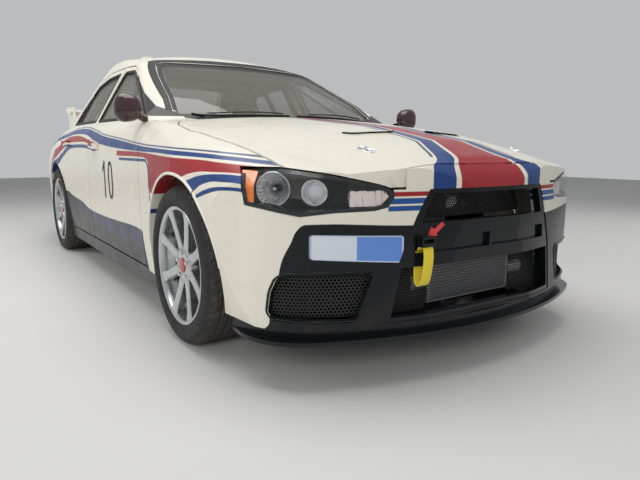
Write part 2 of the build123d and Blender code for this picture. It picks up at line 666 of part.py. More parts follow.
with BuildPart() as rim:
    with BuildSketch(Plane.XZ):
        with BuildLine():
            Polyline((rim_lip_radius, 108), (rim_lip_radius, 103.5), (229, 97), (229, 60), (212, 40),
                     (212, -34), (229, -52), (229, -97), (238, -103.5), (238, -108), (222, -108), (218, -58),
                     (barrel_radius, -40),
                     (barrel_radius, 46), (218, 66), (222, 108), close=True)
        make_face()
    revolve(axis=Axis.Z)
    with BuildSketch(Plane.XY.offset(hub_outer_y - wheel_y)):
        Circle(76)
    extrude(amount=spoke_outer - (hub_outer_y - wheel_y) - 4)
    with BuildSketch(Plane.XY.offset(spoke_inner)) as spokes:
        with PolarLocations(0, spoke_count):
            with BuildLine():
                Polyline((50, -21), (222, -15), (222, 15), (50, 21), close=True)
            make_face()
    extrude(amount=spoke_outer - spoke_inner)
    with BuildSketch(Plane.XY.offset(hub_inner_y - wheel_y)):
        Circle(48)
    extrude(amount=hub_outer_y - hub_inner_y + 1)
    with BuildSketch(Plane.XY.offset(disc_inner_y - wheel_y)):
        Circle(disc_radius)
    extrude(amount=disc_outer_y - disc_inner_y)
    with BuildSketch(Plane.XY.offset(spoke_outer - 5)):
        Circle(36)
    extrude(amount=14)
    with BuildSketch(Plane.XY.offset(hub_inner_y - wheel_y - 1)):
        Circle(spindle_radius + spindle_fit)
    extrude(amount=hub_outer_y - hub_inner_y - 1, mode=Mode.SUBTRACT)


def wheel_place(axle_x, side):
    return Plane((axle_x, side * wheel_y, tyre_radius), x_dir=(1, 0, 0), z_dir=(0, side, 0)).location


for end, axle_x in (("front", front_axle_x), ("rear", rear_axle_x)):
    for hand, side in (("left", 1), ("right", -1)):
        write(tyre.part.moved(wheel_place(axle_x, side)), f"tyre_{end}_{hand}")
        write(rim.part.moved(wheel_place(axle_x, side)), f"wheel_{end}_{hand}")


def carrier(axle_x):
    # left hub carrier: upright, spindle, ball bosses and a caliper round the disc
    with BuildPart() as upright:
        add(box_between(axle_x - 26, axle_x + 26, kingpin_y - 23, kingpin_y + 23, ball_z_low + 20,
                        ball_z_high - 20))
        with BuildSketch(Plane.XY.offset(ball_z_low)):
            with Locations((axle_x, kingpin_y)):
                Circle(22)
        extrude(amount=ball_z_high - ball_z_low)
        with BuildSketch(Plane((axle_x, kingpin_y, tyre_radius), x_dir=(1, 0, 0), z_dir=(0, 1, 0))):
            Circle(spindle_radius)
        extrude(amount=hub_outer_y - kingpin_y - 4)
        add(box_between(axle_x - 184, axle_x - 20, kingpin_y - 20, kingpin_y + 23, tyre_radius - 40,
                        tyre_radius + 40))
        add(box_between(axle_x - 184, axle_x - 118, kingpin_y + 20, 826, tyre_radius - 56, tyre_radius + 56))
        with BuildSketch(Plane((axle_x, disc_inner_y - 4, tyre_radius), x_dir=(1, 0, 0), z_dir=(0, 1, 0))):
            Circle(disc_radius + 5)
        extrude(amount=disc_outer_y - disc_inner_y + 8, mode=Mode.SUBTRACT)
        with BuildSketch(Plane((axle_x, kingpin_y, tyre_radius), x_dir=(1, 0, 0), z_dir=(0, 1, 0))):
            Circle(spindle_radius)
        extrude(amount=hub_outer_y - kingpin_y - 4)
    return upright.part


knuckle = carrier(front_axle_x)
write(knuckle, "knuckle_left")
write(mirrored(knuckle), "knuckle_right")

member_half_width, member_low_z, member_top_z = 350.0, 178.0, 240.0
spring_y, spring_radius = 450.0, 44.0


def suspension(axle_x, gap):
    # cross member, lower and upper arms and coil-over units of one axle
    with BuildPart() as unit:
        add(box_between(axle_x - 92, axle_x + 92, -member_half_width, member_half_width, member_low_z,
                        member_top_z))
        for side in (-1, 1):
            arm = [(axle_x - 150, side * (member_half_width - 10)),
                   (axle_x + 150, side * (member_half_width - 10)), (axle_x + 20, side * kingpin_y),
                   (axle_x - 20, side * kingpin_y)]
            for z in (ball_z_low - arm_wall - gap, ball_z_high + gap):
                with BuildSketch(Plane.XY.offset(z)):
                    with BuildLine():
                        Polyline(*arm, close=True)
                    make_face()
                    with Locations((axle_x, side * kingpin_y)):
                        Circle(24)
                extrude(amount=arm_wall)
            y = side * member_half_width
            add(box_between(axle_x - 60, axle_x + 60, y - side * 30, y, member_low_z, ball_z_high + arm_wall))
            with BuildSketch(Plane.XY.offset(ball_z_low - arm_wall)):
                with Locations((axle_x, side * spring_y)):
                    Circle(spring_radius)
            extrude(amount=tower_z - fit - ball_z_low + arm_wall)
    return unit.part


with BuildPart() as front_subframe:
    add(suspension(front_axle_x, fit))
    for side in (-1, 1):
        add(box_between(front_axle_x, radiator_x, side * (leg_y - leg_half), side * (leg_y + leg_half),
                        leg_low_z, leg_high_z))
        add(box_between(front_axle_x - 60, front_axle_x + 60, side * (member_half_width - 20),
                        side * (leg_y + leg_half), 220, 300))
    add(box_between(radiator_x - leg_half, radiator_x, -leg_y - leg_half, leg_y + leg_half, leg_low_z,
                    leg_high_z))
    add(tow_lug(front_lug_x, -leg_y, leg_low_z, lug_hole_z))
write(front_subframe.part, "front_subframe")
with BuildPart() as rear_subframe:
    add(suspension(rear_axle_x, 0))
    add(carrier(rear_axle_x))
    add(mirrored(carrier(rear_axle_x)))
write(rear_subframe.part, "rear_subframe")

write(box_between(1300, 1740, -280, 280, member_top_z, 760), "engine_block")
write(box_between(1010, 1784, -330, 330, member_low_z - 12, member_low_z - fit), "sump_guard")
cooler_front_x, cooler_half, cooler_low_z, cooler_high_z = radiator_x + 60, 224.0, 242.0, 402.0
fin_pitch, fin_gap, fin_depth, cooler_rim = 11.0, 4.0, 8.0, 14.0
with BuildPart() as cooler:
    add(box_between(radiator_x + fit, cooler_front_x, -cooler_half, cooler_half, cooler_low_z, cooler_high_z))
    for side in (-1, 1):
        with Locations((radiator_x + 30, side * (cooler_half + 40), (cooler_low_z + cooler_high_z) / 2)):
            Cylinder(34, 80, rotation=(90, 0, 0))
    for row in range(12):
        z = cooler_low_z + cooler_rim + row * fin_pitch
        add(box_between(cooler_front_x - fin_depth, cooler_front_x, cooler_rim - cooler_half,
                        cooler_half - cooler_rim, z, z + fin_gap), mode=Mode.SUBTRACT)
write(cooler.part, "intercooler")

# Nose fittings
splitter_low_z, splitter_wall = 160.0, 14.0


def nose_plan(reach, rear_x, z, height):
    # a flat slab in the bumper's plan, moved out by reach, back to rear_x
    nose = nose_x + reach
    with BuildPart() as slab:
        with BuildSketch(Plane.XY.offset(z)):
            with BuildLine():
                ThreePointArc((nose - 160, -690 - reach), (nose, 0), (nose - 160, 690 + reach))
                ThreePointArc((nose - 160, 690 + reach), (nose - 245, 782 + reach),
                              (nose - 385, 832 + reach * 0.5))
                Polyline((nose - 385, 832 + reach * 0.5), (rear_x, 832), (rear_x, -832),
                         (nose - 385, -832 - reach * 0.5))
                ThreePointArc((nose - 385, -832 - reach * 0.5), (nose - 245, -782 - reach),
                              (nose - 160, -690 - reach))
            make_face()
        extrude(amount=height)
    return slab.part


with BuildPart() as splitter:
    add(nose_plan(20, 1790, splitter_low_z, splitter_wall))
    add(nose_plan(-16, 1800, splitter_low_z + splitter_wall,
                  bumper_low_z - fit - splitter_low_z - splitter_wall))
    add(box_between(1700, 2060, -640, 640, splitter_low_z + splitter_wall, 400), mode=Mode.SUBTRACT)
write(splitter.part, "splitter")

# Mouth: a rim and a crossbar with a long recess, open above and below it
bar_low_z, bar_high_z, recess_depth = 402.0, 550.0, 16.0
mouth_depth, mouth_wall, rim = 3.0, 30.0, 16.0
upper_mouth = [(340 - rim, bar_high_z), (300 - rim, mouth_top_z - rim)]
lower_mouth = [(448 - rim, mouth_low_z + rim), (413 - rim, bar_low_z)]
bar_recess = [(352, 448), (344, 500)]
bar_post = 8.0
with BuildPart() as recess:
    add(front_region(front_both(bar_recess), 2000, 2400))
    add(outer_lower.moved(Location((-mouth_depth - recess_depth, 0, 0))), mode=Mode.SUBTRACT)
    add(front_region(front_both([(bar_post, 440), (bar_post, 510)]), 2000, 2400), mode=Mode.SUBTRACT)
with BuildPart() as grille:
    add(front_region(front_both(grille_outline), 2000, 2400))
    add(outer_lower.moved(Location((-mouth_depth, 0, 0))), mode=Mode.INTERSECT)
    add(outer_lower.moved(Location((-mouth_depth - mouth_wall, 0, 0))), mode=Mode.SUBTRACT)
    add(recess.part, mode=Mode.SUBTRACT)
    for opening in (upper_mouth, lower_mouth):
        add(front_region(front_both(opening), 1900, 2400), mode=Mode.SUBTRACT)
write(grille.part, "grille")

duct_rows, duct_columns, duct_pitch, duct_row_pitch, duct_hole = 3, 6, 40.0, 42.0, 32.0
duct_start_h, duct_start_z = 884.0, 256.0
with BuildPart() as duct:
    add(corner_region(duct_outline, 500, 2600))
    add(outer_lower.moved(inward(20)), mode=Mode.INTERSECT)
    add(outer_lower.moved(inward(28)), mode=Mode.SUBTRACT)
    for row in range(duct_rows):
        for column in range(duct_columns):
            h = duct_start_h + column * duct_pitch
            z = duct_start_z + row * duct_row_pitch
            add(corner_region([(h, z), (h + duct_hole, z), (h + duct_hole, z + duct_hole),
                               (h, z + duct_hole)],
                              500, 2600), mode=Mode.SUBTRACT)
write(with_mirror(duct.part), "duct_grilles")

# Mud flaps behind each wheel
flap_wall, flap_inner_y, flap_outer_y, flap_low_z, rear_flap_x = 6.0, 704.0, 842.0, 66.0, -1612.0
arch_half_chord = (arch_radius ** 2 - (tyre_radius - floor_z) ** 2) ** 0.5
front_flap_x = front_axle_x - arch_half_chord + fit
with BuildPart() as flaps:
    for x in (front_flap_x, rear_flap_x):
        add(box_between(x, x + flap_wall, flap_inner_y, flap_outer_y, flap_low_z, floor_z - fit))
        add(box_between(x, x + flap_wall, -flap_outer_y, -flap_inner_y, flap_low_z, floor_z - fit))
write(flaps.part, "mud_flaps")

# Exhaust under the boot floor
with BuildPart() as exhaust:
    add(box_between(-2080, -1740, -560, -260, 196, boot_floor_z - fit))
    fillet(exhaust.edges().filter_by(Axis.X), 40)
    with BuildSketch(Plane.YZ.offset(-2250)):
        with Locations((pipe_y, pipe_z)):
            Circle(pipe_radius)
    extrude(amount=180)
    with BuildSketch(Plane.YZ.offset(-2251)):
        with Locations((pipe_y, pipe_z)):
            Circle(pipe_bore)
    extrude(amount=120, mode=Mode.SUBTRACT)
write(exhaust.part, "exhaust")

# Rear wing on the boot lid
wing_span, wing_stand_y, stand_wall = 1250.0, 600.0, 12.0
with BuildPart() as rear_wing:
    with BuildSketch(Plane.XZ.offset(-wing_span / 2)):
        with BuildLine():
            ThreePointArc((-1962, 1118), (-2060, 1102), (-2196, 1150))
            Line((-2196, 1150), (-2192, 1158))
            ThreePointArc((-2192, 1158), (-2060, 1132), (-1966, 1134))
            ThreePointArc((-1966, 1134), (-1955, 1126), (-1962, 1118))
        make_face()
    extrude(amount=wing_span)
    for side in (-1, 1):
        with BuildSketch(Plane.XZ.offset(-side * wing_stand_y - stand_wall / 2)):
            with BuildLine():
                Polyline((-1900, 860), (-1930, 1160), (-2210, 1180), (-2190, 1060), (-2130, 860), close=True)
            make_face()
        extrude(amount=stand_wall)
    add(outer_lower.moved(Location((0, 0, fit))), mode=Mode.SUBTRACT)
write(rear_wing.part, "rear_wing")

# Door mirrors
mirror_middle = (800.0, 874.0, 977.0)
with BuildPart() as door_mirror:
    with Locations(mirror_middle):
        Box(96, 150, 106)
    fillet(door_mirror.edges(), 34)
    add(box_between(776, 824, 788, 822, 880, 960))
    add(outer_lower.moved(Location((0, 0, fit))), mode=Mode.SUBTRACT)
write(door_mirror.part, "mirror_left")
write(mirrored(door_mirror.part), "mirror_right")

# Cabin fittings
seat_y, seat_width, seat_wall, seat_x = 385.0, 460.0, 16.0, 60.0


def seat_side(points, half_width):
    # a prism across one seat from a side-view outline given from the seat's own mark
    return side_region([(x + seat_x, z) for x, z in points], seat_y - half_width, seat_y + half_width)


seat_outer = [(180, 330), (190, 250), (-190, 215), (-400, 860), (-350, 900), (-300, 880), (-150, 470),
              (60, 430)]
seat_inner = [(220, 500), (220, 278), (-172, 240), (-376, 866), (-340, 960), (400, 960)]
with BuildPart() as seat:
    add(seat_side(seat_outer, seat_width / 2))
    add(seat_side(seat_inner, seat_width / 2 - seat_wall), mode=Mode.SUBTRACT)
    for y in (seat_y - 190, seat_y + 190):
        add(side_region([(seat_x + 150, floor_top_z + fit), (seat_x + 150, 262), (seat_x - 150, 236),
                         (seat_x - 150, floor_top_z + fit)], y - 12, y + 12))
write(with_mirror(seat.part), "seats")
with BuildPart() as cushion:
    add(seat_side([(170, 274.5), (176, 340), (-140, 320), (-166, 241.5)], 200))
    add(seat_side([(-150, 330), (-320, 860), (-369.1, 846), (-200.9, 330)], 190))
write(with_mirror(cushion.part), "seat_cushions")

dash_half_width = 640.0
dash_outline = [(firewall_x - fit, 640), (firewall_x - fit, 880), (800, 905), (640, 895), (578, 850),
                (566, 760), (620, 700), (760, 640)]
column_tilt = 18.0
steer_hub = (300.0, seat_y, 815.0)
column_radius, column_length = 24.0, 360.0
column_axis = (-cos(radians(column_tilt)), 0, sin(radians(column_tilt)))
with BuildPart() as steering_wheel:
    rim_plane = Plane(steer_hub, x_dir=(0, 1, 0), z_dir=column_axis)
    with BuildSketch(Plane(rim_plane.origin + rim_plane.x_dir * 165, x_dir=rim_plane.x_dir,
                           z_dir=rim_plane.y_dir)):
        Circle(15)
    revolve(axis=Axis(rim_plane.origin, rim_plane.z_dir))
    with BuildSketch(rim_plane.offset(-8)):
        Circle(52)
        with PolarLocations(0, 3, 90):
            with Locations((85, 0)):
                Rectangle(150, 30)
    extrude(amount=14)
    with BuildSketch(rim_plane.offset(-column_length)):
        Circle(column_radius)
    extrude(amount=column_length)
write(steering_wheel.part, "steering_wheel")

# The dashboard holds the steering column in a bore
with BuildPart() as dashboard:
    add(side_region(dash_outline, -dash_half_width, dash_half_width))
    with BuildSketch(rim_plane.offset(-column_length - 6)):
        Circle(column_radius + fit)
    extrude(amount=column_length, mode=Mode.SUBTRACT)
write(dashboard.part, "dashboard")

cage_radius = 20.0
hoop_x = -430.0


def tube(points, radius, bend=70):
    with BuildPart() as bar:
        with BuildLine() as path:
            if len(points) > 2:
                FilletPolyline(*points, radius=bend)
            else:
                Line(*points)
        with BuildSketch(Plane(origin=path.line @ 0, z_dir=path.line % 0)):
            Circle(radius)
        sweep()
    return bar.part


with BuildPart() as roll_cage:
    add(tube([(hoop_x, -745, floor_top_z + fit), (hoop_x, -745, 850), (hoop_x, -480, 1300),
              (hoop_x, 480, 1300), (hoop_x, 745, 850), (hoop_x, 745, floor_top_z + fit)], cage_radius))
    for side in (-1, 1):
        add(tube([(hoop_x, side * 455, 1300), (50, side * 455, 1262), (600, side * 636, 948),
                  (640, side * 690, 830), (640, side * 690, floor_top_z + fit)], cage_radius))
        add(tube([(hoop_x, side * 420, 1300), (-1210, side * 450, 870),
                  (-1210, side * 450, tower_z + plate + fit)],
                 cage_radius, 40))
        add(tube([(hoop_x, side * 738, 520), (640, side * 690, 420)], cage_radius * 0.8))
    add(tube([(50, -455, 1262), (50, 455, 1262)], cage_radius))
    add(tube([(hoop_x, -735, 320), (hoop_x, 455, 1300)], cage_radius * 0.9))
write(roll_cage.part, "roll_cage")
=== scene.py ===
import math
import bmesh
import bpy
import numpy as np
from mathutils import Matrix, Vector


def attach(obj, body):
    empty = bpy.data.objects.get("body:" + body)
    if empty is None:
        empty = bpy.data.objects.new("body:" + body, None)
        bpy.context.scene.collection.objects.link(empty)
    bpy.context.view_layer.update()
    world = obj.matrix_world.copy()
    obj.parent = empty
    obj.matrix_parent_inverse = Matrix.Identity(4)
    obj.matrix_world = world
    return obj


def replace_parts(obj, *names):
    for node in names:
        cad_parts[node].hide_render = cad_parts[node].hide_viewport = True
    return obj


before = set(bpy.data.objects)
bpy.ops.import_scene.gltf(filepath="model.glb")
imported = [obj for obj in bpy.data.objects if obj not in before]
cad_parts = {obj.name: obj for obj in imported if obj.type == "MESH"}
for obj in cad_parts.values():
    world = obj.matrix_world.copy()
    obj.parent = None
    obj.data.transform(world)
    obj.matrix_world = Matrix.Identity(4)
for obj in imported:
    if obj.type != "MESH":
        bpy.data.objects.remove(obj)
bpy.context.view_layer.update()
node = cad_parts
scene = bpy.context.scene
handSides = (("left", 1), ("right", -1))
print("frame loaded", len(node), "parts")

# Camera, at the photograph's angle
cameraSet = {"place": (3.5508, -1.6453, 0.7898), "yaw": 145.942, "pitch": -9.176, "roll": 0.137,
             "lens": 31.41}


def placeCamera(s):
    # forward from yaw and pitch, then rolled about it; the camera looks along its own -Z
    yaw, pitch, roll = (math.radians(s[k]) for k in ("yaw", "pitch", "roll"))
    forward = Vector((math.cos(pitch) * math.cos(yaw), math.cos(pitch) * math.sin(yaw), math.sin(pitch)))
    right = forward.cross(Vector((0, 0, 1))).normalized()
    up = right.cross(forward)
    side = right * math.cos(roll) + up * math.sin(roll)
    top = up * math.cos(roll) - right * math.sin(roll)
    camera = bpy.data.objects.new("camera", bpy.data.cameras.new("camera"))
    camera.matrix_world = Matrix((side, top, -forward)).transposed().to_4x4()
    camera.location = s["place"]
    camera.data.lens = s["lens"]
    scene.collection.objects.link(camera)
    scene.camera = camera


placeCamera(cameraSet)


# Fields: values worked out at every point of a surface, by nodes that are joined as the sums are written
class Field:
    def __init__(self, tree, socket):
        self.tree, self.socket = tree, socket

    def __add__(self, other):
        return joined("ADD", self, other)

    def __sub__(self, other):
        return joined("SUBTRACT", self, other)

    def __rsub__(self, other):
        return joined("SUBTRACT", other, self)

    def __mul__(self, other):
        return joined("MULTIPLY", self, other)

    def __truediv__(self, other):
        return joined("DIVIDE", self, other)

    def into(self, target, name):
        self.tree.links.new(self.socket, target.inputs[name])


def joined(kind, *values, clamp=False):
    tree = next(v.tree for v in values if isinstance(v, Field))
    n = tree.nodes.new("ShaderNodeMath")
    n.operation = kind
    n.use_clamp = clamp
    for i, v in enumerate(values):
        if isinstance(v, Field):
            v.into(n, i)
        else:
            n.inputs[i].default_value = v
    return Field(tree, n.outputs[0])


def mixColour(share, low, high):
    n = share.tree.nodes.new("ShaderNodeMix")
    n.data_type = "RGBA"
    share.into(n, 0)
    for i, v in ((6, low), (7, high)):
        if isinstance(v, Field):
            v.into(n, i)
        else:
            n.inputs[i].default_value = (*v, 1)
    return Field(share.tree, n.outputs[2])


def coordinates(tree):
    # the point itself, x, distance from the middle, z and the signed side, all in metres
    place = tree.nodes.new("ShaderNodeTexCoord")
    split = tree.nodes.new("ShaderNodeSeparateXYZ")
    tree.links.new(place.outputs["Object"], split.inputs[0])
    x, y, z = (Field(tree, socket) for socket in split.outputs)
    return Field(tree, place.outputs["Object"]), x, joined("ABSOLUTE", y), z, y


def heightOf(x, points, margin=0.01):
    # a line drawn through (x, value) points, read at x
    start, end = points[0][0], points[-1][0]
    low, high = min(p[1] for p in points) - margin, max(p[1] for p in points) + margin
    n = x.tree.nodes.new("ShaderNodeFloatCurve")
    line = n.mapping.curves[0]
    while len(line.points) < len(points):
        line.points.new(0.5, 0.5)
    for p, (px, pv) in zip(line.points, points):
        p.location = ((px - start) / (end - start), (pv - low) / (high - low))
        p.handle_type = "AUTO_CLAMPED"
    n.mapping.update()
    joined("DIVIDE", x - start, end - start, clamp=True).into(n, "Value")
    return Field(x.tree, n.outputs[0]) * (high - low) + low


def above(a, b, soft=0.0012):
    # 1 where a is over b, with a soft edge
    return joined("DIVIDE", a - b + soft, 2 * soft, clamp=True)


def between(value, low, high, soft=0.0012):
    return above(value, low, soft) * above(high, value, soft)


def every(first, *others):
    # 1 only where all the masks are 1
    for mask in others:
        first = first * mask
    return first


def noise(place, scale, detail=4.0, rough=0.55):
    n = place.tree.nodes.new("ShaderNodeTexNoise")
    for key, value in (("Scale", scale), ("Detail", detail), ("Roughness", rough)):
        n.inputs[key].default_value = value
    place.into(n, "Vector")
    return Field(place.tree, n.outputs[0])


def ranged(value, low, high, outLow, outHigh):
    n = value.tree.nodes.new("ShaderNodeMapRange")
    value.into(n, 0)
    for i, v in enumerate((low, high, outLow, outHigh)):
        n.inputs[i + 1].default_value = v
    return Field(value.tree, n.outputs[0])


def bump(height, strength, distance=0.001):
    n = height.tree.nodes.new("ShaderNodeBump")
    n.inputs["Strength"].default_value = strength
    n.inputs["Distance"].default_value = distance
    height.into(n, "Height")
    return Field(height.tree, n.outputs[0])


def material(name, **sockets):
    # a new material, its shader and the coordinates of its points
    mat = bpy.data.materials.new(name)
    mat.use_nodes = True
    shader = mat.node_tree.nodes["Principled BSDF"]
    for key, value in sockets.items():
        shader.inputs[key.replace("_", " ")].default_value = value
    return mat, shader, coordinates(mat.node_tree)


# Studio: soft boxes and a pale room
lampSet = {
    "over": {"place": (0.6, -0.6, 4.6), "aim": (0.2, 0, 0.4), "size": (5.0, 3.6), "power": 175,
             "gloss": True},
    "front": {"place": (5.6, -4.6, 2.6), "aim": (1.2, 0, 0.5), "size": (3.4, 2.0), "power": 150},
    "windows": {"place": (-3.2, -4.8, 2.4), "aim": (0.2, 0, 0.7), "size": (4.0, 2.0), "power": 120},
    "far": {"place": (2.5, 5.2, 2.6), "aim": (1.0, 0, 0.6), "size": (4.0, 1.8), "power": 60},
}
worldSet = {"colour": (0.80, 0.81, 0.83, 1), "light": 0.34, "seen": 0.62}


def addLamp(name, s):
    lamp = bpy.data.objects.new(name, bpy.data.lights.new(name, "AREA"))
    lamp.data.shape = "RECTANGLE"
    lamp.data.size, lamp.data.size_y = s["size"]
    lamp.data.energy = s["power"]
    lamp.location = s["place"]
    lamp.visible_glossy = s.get("gloss", False)
    lamp.rotation_euler = (Vector(s["aim"]) - Vector(s["place"])).to_track_quat("-Z", "Y").to_euler()
    scene.collection.objects.link(lamp)


def addWorld(s):
    # what the camera, glass and metal see of the room is paler than the light it gives
    world = bpy.data.worlds.new("studio")
    world.use_nodes = True
    tree = world.node_tree
    background = tree.nodes["Background"]
    background.inputs["Color"].default_value = s["colour"]
    rays = tree.nodes.new("ShaderNodeLightPath")
    kinds = ("Camera", "Glossy", "Transmission")
    camera, glossy, through = (Field(tree, rays.outputs[f"Is {kind} Ray"]) for kind in kinds)
    seen = joined("MAXIMUM", joined("MAXIMUM", camera, glossy), through)
    (seen * (s["seen"] - s["light"]) + s["light"]).into(background, "Strength")
    scene.world = world


for name, s in lampSet.items():
    addLamp(name + "Lamp", s)
addWorld(worldSet)
scene.view_settings.view_transform = "Standard"

# Paint: bands along the sides, each between a lower and an upper line of (x, z) points
cream, red = (0.72, 0.685, 0.59), (0.31, 0.020, 0.024)
blue, navy = (0.017, 0.050, 0.185), (0.008, 0.014, 0.050)
blackPaint, glassBlack, cowlBlack = (0.006, 0.007, 0.009), (0.020, 0.012, 0.014), (0.014, 0.014, 0.015)
edgeBlue, thinBlue, noseBlue = (0.07, 0.09, 0.18), (0.035, 0.045, 0.085), (0.020, 0.075, 0.27)
grimeBrown = (0.16, 0.13, 0.10)
topLine = [(-2.3, 0.80), (-1.9, 0.83), (-1.5, 0.86), (-0.9, 0.905), (-0.6, 0.925), (0.0, 0.888),
           (0.15, 0.868), (0.58, 0.834), (0.92, 0.807), (1.2, 0.794), (1.41, 0.785), (1.57, 0.777),
           (1.71, 0.767), (1.87, 0.753), (2.0, 0.740)]
sideBands = (
    {"paint": blue, "from": -2.4, "to": 2.4, "upper": topLine,
     "lower": [(-2.3, 0.77), (-1.9, 0.80), (-1.5, 0.83), (-0.9, 0.875), (-0.6, 0.890), (0.0, 0.838),
               (0.15, 0.818), (0.57, 0.793), (0.95, 0.780), (1.2, 0.776), (1.41, 0.768), (1.56, 0.762),
               (1.71, 0.754), (1.87, 0.742), (2.0, 0.731)]},
    {"paint": red, "from": 0.50, "to": 2.4,
     "upper": [(0.50, 0.784), (0.95, 0.777), (1.09, 0.772), (1.29, 0.763), (1.46, 0.757), (1.61, 0.752),
               (1.70, 0.745), (1.87, 0.734), (2.0, 0.725)],
     "lower": [(0.50, 0.758), (0.95, 0.756), (1.02, 0.752), (1.075, 0.735), (1.10, 0.60), (1.40, 0.60),
               (1.44, 0.660), (1.51, 0.690), (1.58, 0.705), (1.66, 0.712), (1.745, 0.712), (1.87, 0.708),
               (2.0, 0.700)]},
    {"paint": blue, "from": 1.45, "to": 2.4,
     "upper": [(1.42, 0.60), (1.476, 0.648), (1.517, 0.667), (1.582, 0.686), (1.655, 0.700), (1.766, 0.706),
               (1.867, 0.702), (2.0, 0.694)],
     "lower": [(1.50, 0.58), (1.571, 0.623), (1.615, 0.644), (1.675, 0.670), (1.743, 0.680), (1.826, 0.680),
               (1.903, 0.675), (2.0, 0.670)]},
    {"paint": blue, "from": 1.45, "to": 2.4,
     "upper": [(1.50, 0.57), (1.588, 0.615), (1.637, 0.632), (1.685, 0.649), (1.741, 0.661), (1.825, 0.665),
               (1.902, 0.663), (2.0, 0.657)],
     "lower": [(1.52, 0.56), (1.599, 0.605), (1.648, 0.620), (1.707, 0.637), (1.762, 0.649), (1.824, 0.653),
               (1.902, 0.650), (2.0, 0.646)]},
    {"paint": red, "from": -1.60, "to": 0.02,
     "upper": [(-1.62, 0.40), (-1.60, 0.55), (-1.5, 0.70), (-1.31, 0.775), (-1.14, 0.810), (-0.90, 0.865),
               (-0.6, 0.880), (0.0, 0.828)],
     "lower": [(-1.62, 0.30), (-1.58, 0.45), (-1.5, 0.62), (-1.33, 0.700), (-1.18, 0.735), (-0.99, 0.790),
               (-0.73, 0.838), (-0.39, 0.838), (0.0, 0.806)]},
    {"paint": blue, "from": -1.60, "to": 0.02,
     "upper": [(-1.62, 0.25), (-1.5, 0.60), (-1.33, 0.690), (-1.15, 0.722), (-0.964, 0.775), (-0.762, 0.822),
               (-0.41, 0.822), (0.10, 0.786)],
     "lower": [(-1.62, 0.20), (-1.5, 0.55), (-1.33, 0.640), (-1.15, 0.668), (-0.964, 0.735), (-0.762, 0.788),
               (-0.41, 0.800), (0.10, 0.772)]},
)
skirtTop = [(-2.3, 0.30), (-1.70, 0.30), (-0.90, 0.49), (-0.727, 0.468), (-0.438, 0.446), (-0.185, 0.410),
            (0.08, 0.404), (0.477, 0.409), (0.717, 0.415), (0.905, 0.408), (0.93, 0.22), (1.10, 0.215),
            (2.3, 0.20)]
skirtEdge = [(-2.3, 0.27), (-1.70, 0.27), (-0.90, 0.485), (-0.727, 0.455), (-0.60, 0.42), (-0.438, 0.36),
             (-0.185, 0.335), (0.08, 0.325), (0.477, 0.320), (0.717, 0.318), (0.905, 0.300), (0.93, 0.20),
             (1.10, 0.20), (2.3, 0.18)]
sideSet = {"out": 0.70, "edge": (0.006, 0.012),
           "frame": {"x": 1.02, "z": 0.680, "ring": (0.055, 0.068), "from": 0.545, "low": 0.40},
           "pillar": {"from": 0.07, "to": 0.79, "low": 0.955, "out": 0.50,
                      "top": ((0.09, 1.238), (0.79, 0.957))},
           "cowl": {"from": 0.60, "to": 1.0, "low": 0.925, "out": 0.600}}
noseBlack = [(0.70, 0.10), (0.783, 0.174), (0.848, 0.225), (0.852, 0.322), (0.872, 0.357), (0.895, 0.441),
             (0.925, 0.499), (0.942, 0.535), (0.968, 0.555), (1.05, 0.556), (1.12, 0.553), (1.26, 0.545),
             (1.34, 0.543), (1.38, 0.551), (1.42, 0.60), (1.50, 0.66)]
noseSet = {"near": 0.285, "far": 0.450, "from": 2.1,
           "bands": ((0.640, 0.655, red), (0.615, 0.634, noseBlue), (0.592, 0.609, noseBlue))}
bonnetBand = {                                     # half widths along x
    "blueOuter": [(0.9, 0.085), (1.4, 0.095), (1.85, 0.120), (1.97, 0.140), (2.06, 0.170), (2.15, 0.210),
                  (2.217, 0.288), (2.26, 0.310)],
    "blueInner": [(0.9, 0.050), (1.4, 0.056), (1.85, 0.070), (1.97, 0.082), (2.06, 0.102), (2.15, 0.130),
                  (2.217, 0.187), (2.26, 0.205)],
    "redOuter": [(0.9, 0.042), (1.4, 0.047), (1.85, 0.058), (1.97, 0.068), (2.06, 0.086), (2.15, 0.113),
                 (2.217, 0.163), (2.26, 0.180)],
    "low": 0.655, "thin": (0.012, 0.024), "thinTo": 2.14,
}
creamShift = 0.012


def withSides(colour, x, w, z):
    # the bands, a blue frame that turns down ahead of the door, the black round the glass, then the skirt
    flank = above(w, sideSet["out"], 0.003)
    for band in sideBands:
        here = every(flank, between(x, band["from"], band["to"]), above(heightOf(x, band["upper"]), z),
                     above(z, heightOf(x, band["lower"])))
        colour = mixColour(here, colour, band["paint"])
    top = heightOf(x, topLine)
    low, high = sideSet["edge"]
    colour = mixColour(flank * between(z, top + low, top + high), colour, edgeBlue)
    s = sideSet["frame"]
    reach, rise = joined("MAXIMUM", x - s["x"], 0.0), joined("MAXIMUM", z - s["z"], 0.0)
    ring = joined("SQRT", reach * reach + rise * rise)
    frameMask = every(flank, above(x, s["from"]), between(ring, *s["ring"]), above(z, s["low"]))
    colour = mixColour(frameMask, colour, blue)
    s = sideSet["pillar"]
    (x0, z0), (x1, z1) = s["top"]
    roofEdge = (x - x0) / (x1 - x0) * (z1 - z0) + z0
    pillar = every(between(x, s["from"], s["to"]), between(z, s["low"], roofEdge), above(w, s["out"]))
    colour = mixColour(pillar, colour, glassBlack)
    s = sideSet["cowl"]
    cowl = every(between(x, s["from"], s["to"]), above(z, s["low"]), above(s["out"], w))
    colour = mixColour(cowl, colour, cowlBlack)
    for line, paint in ((skirtTop, navy), (skirtEdge, blackPaint)):
        colour = mixColour(above(heightOf(x, line), z), colour, paint)
    return colour


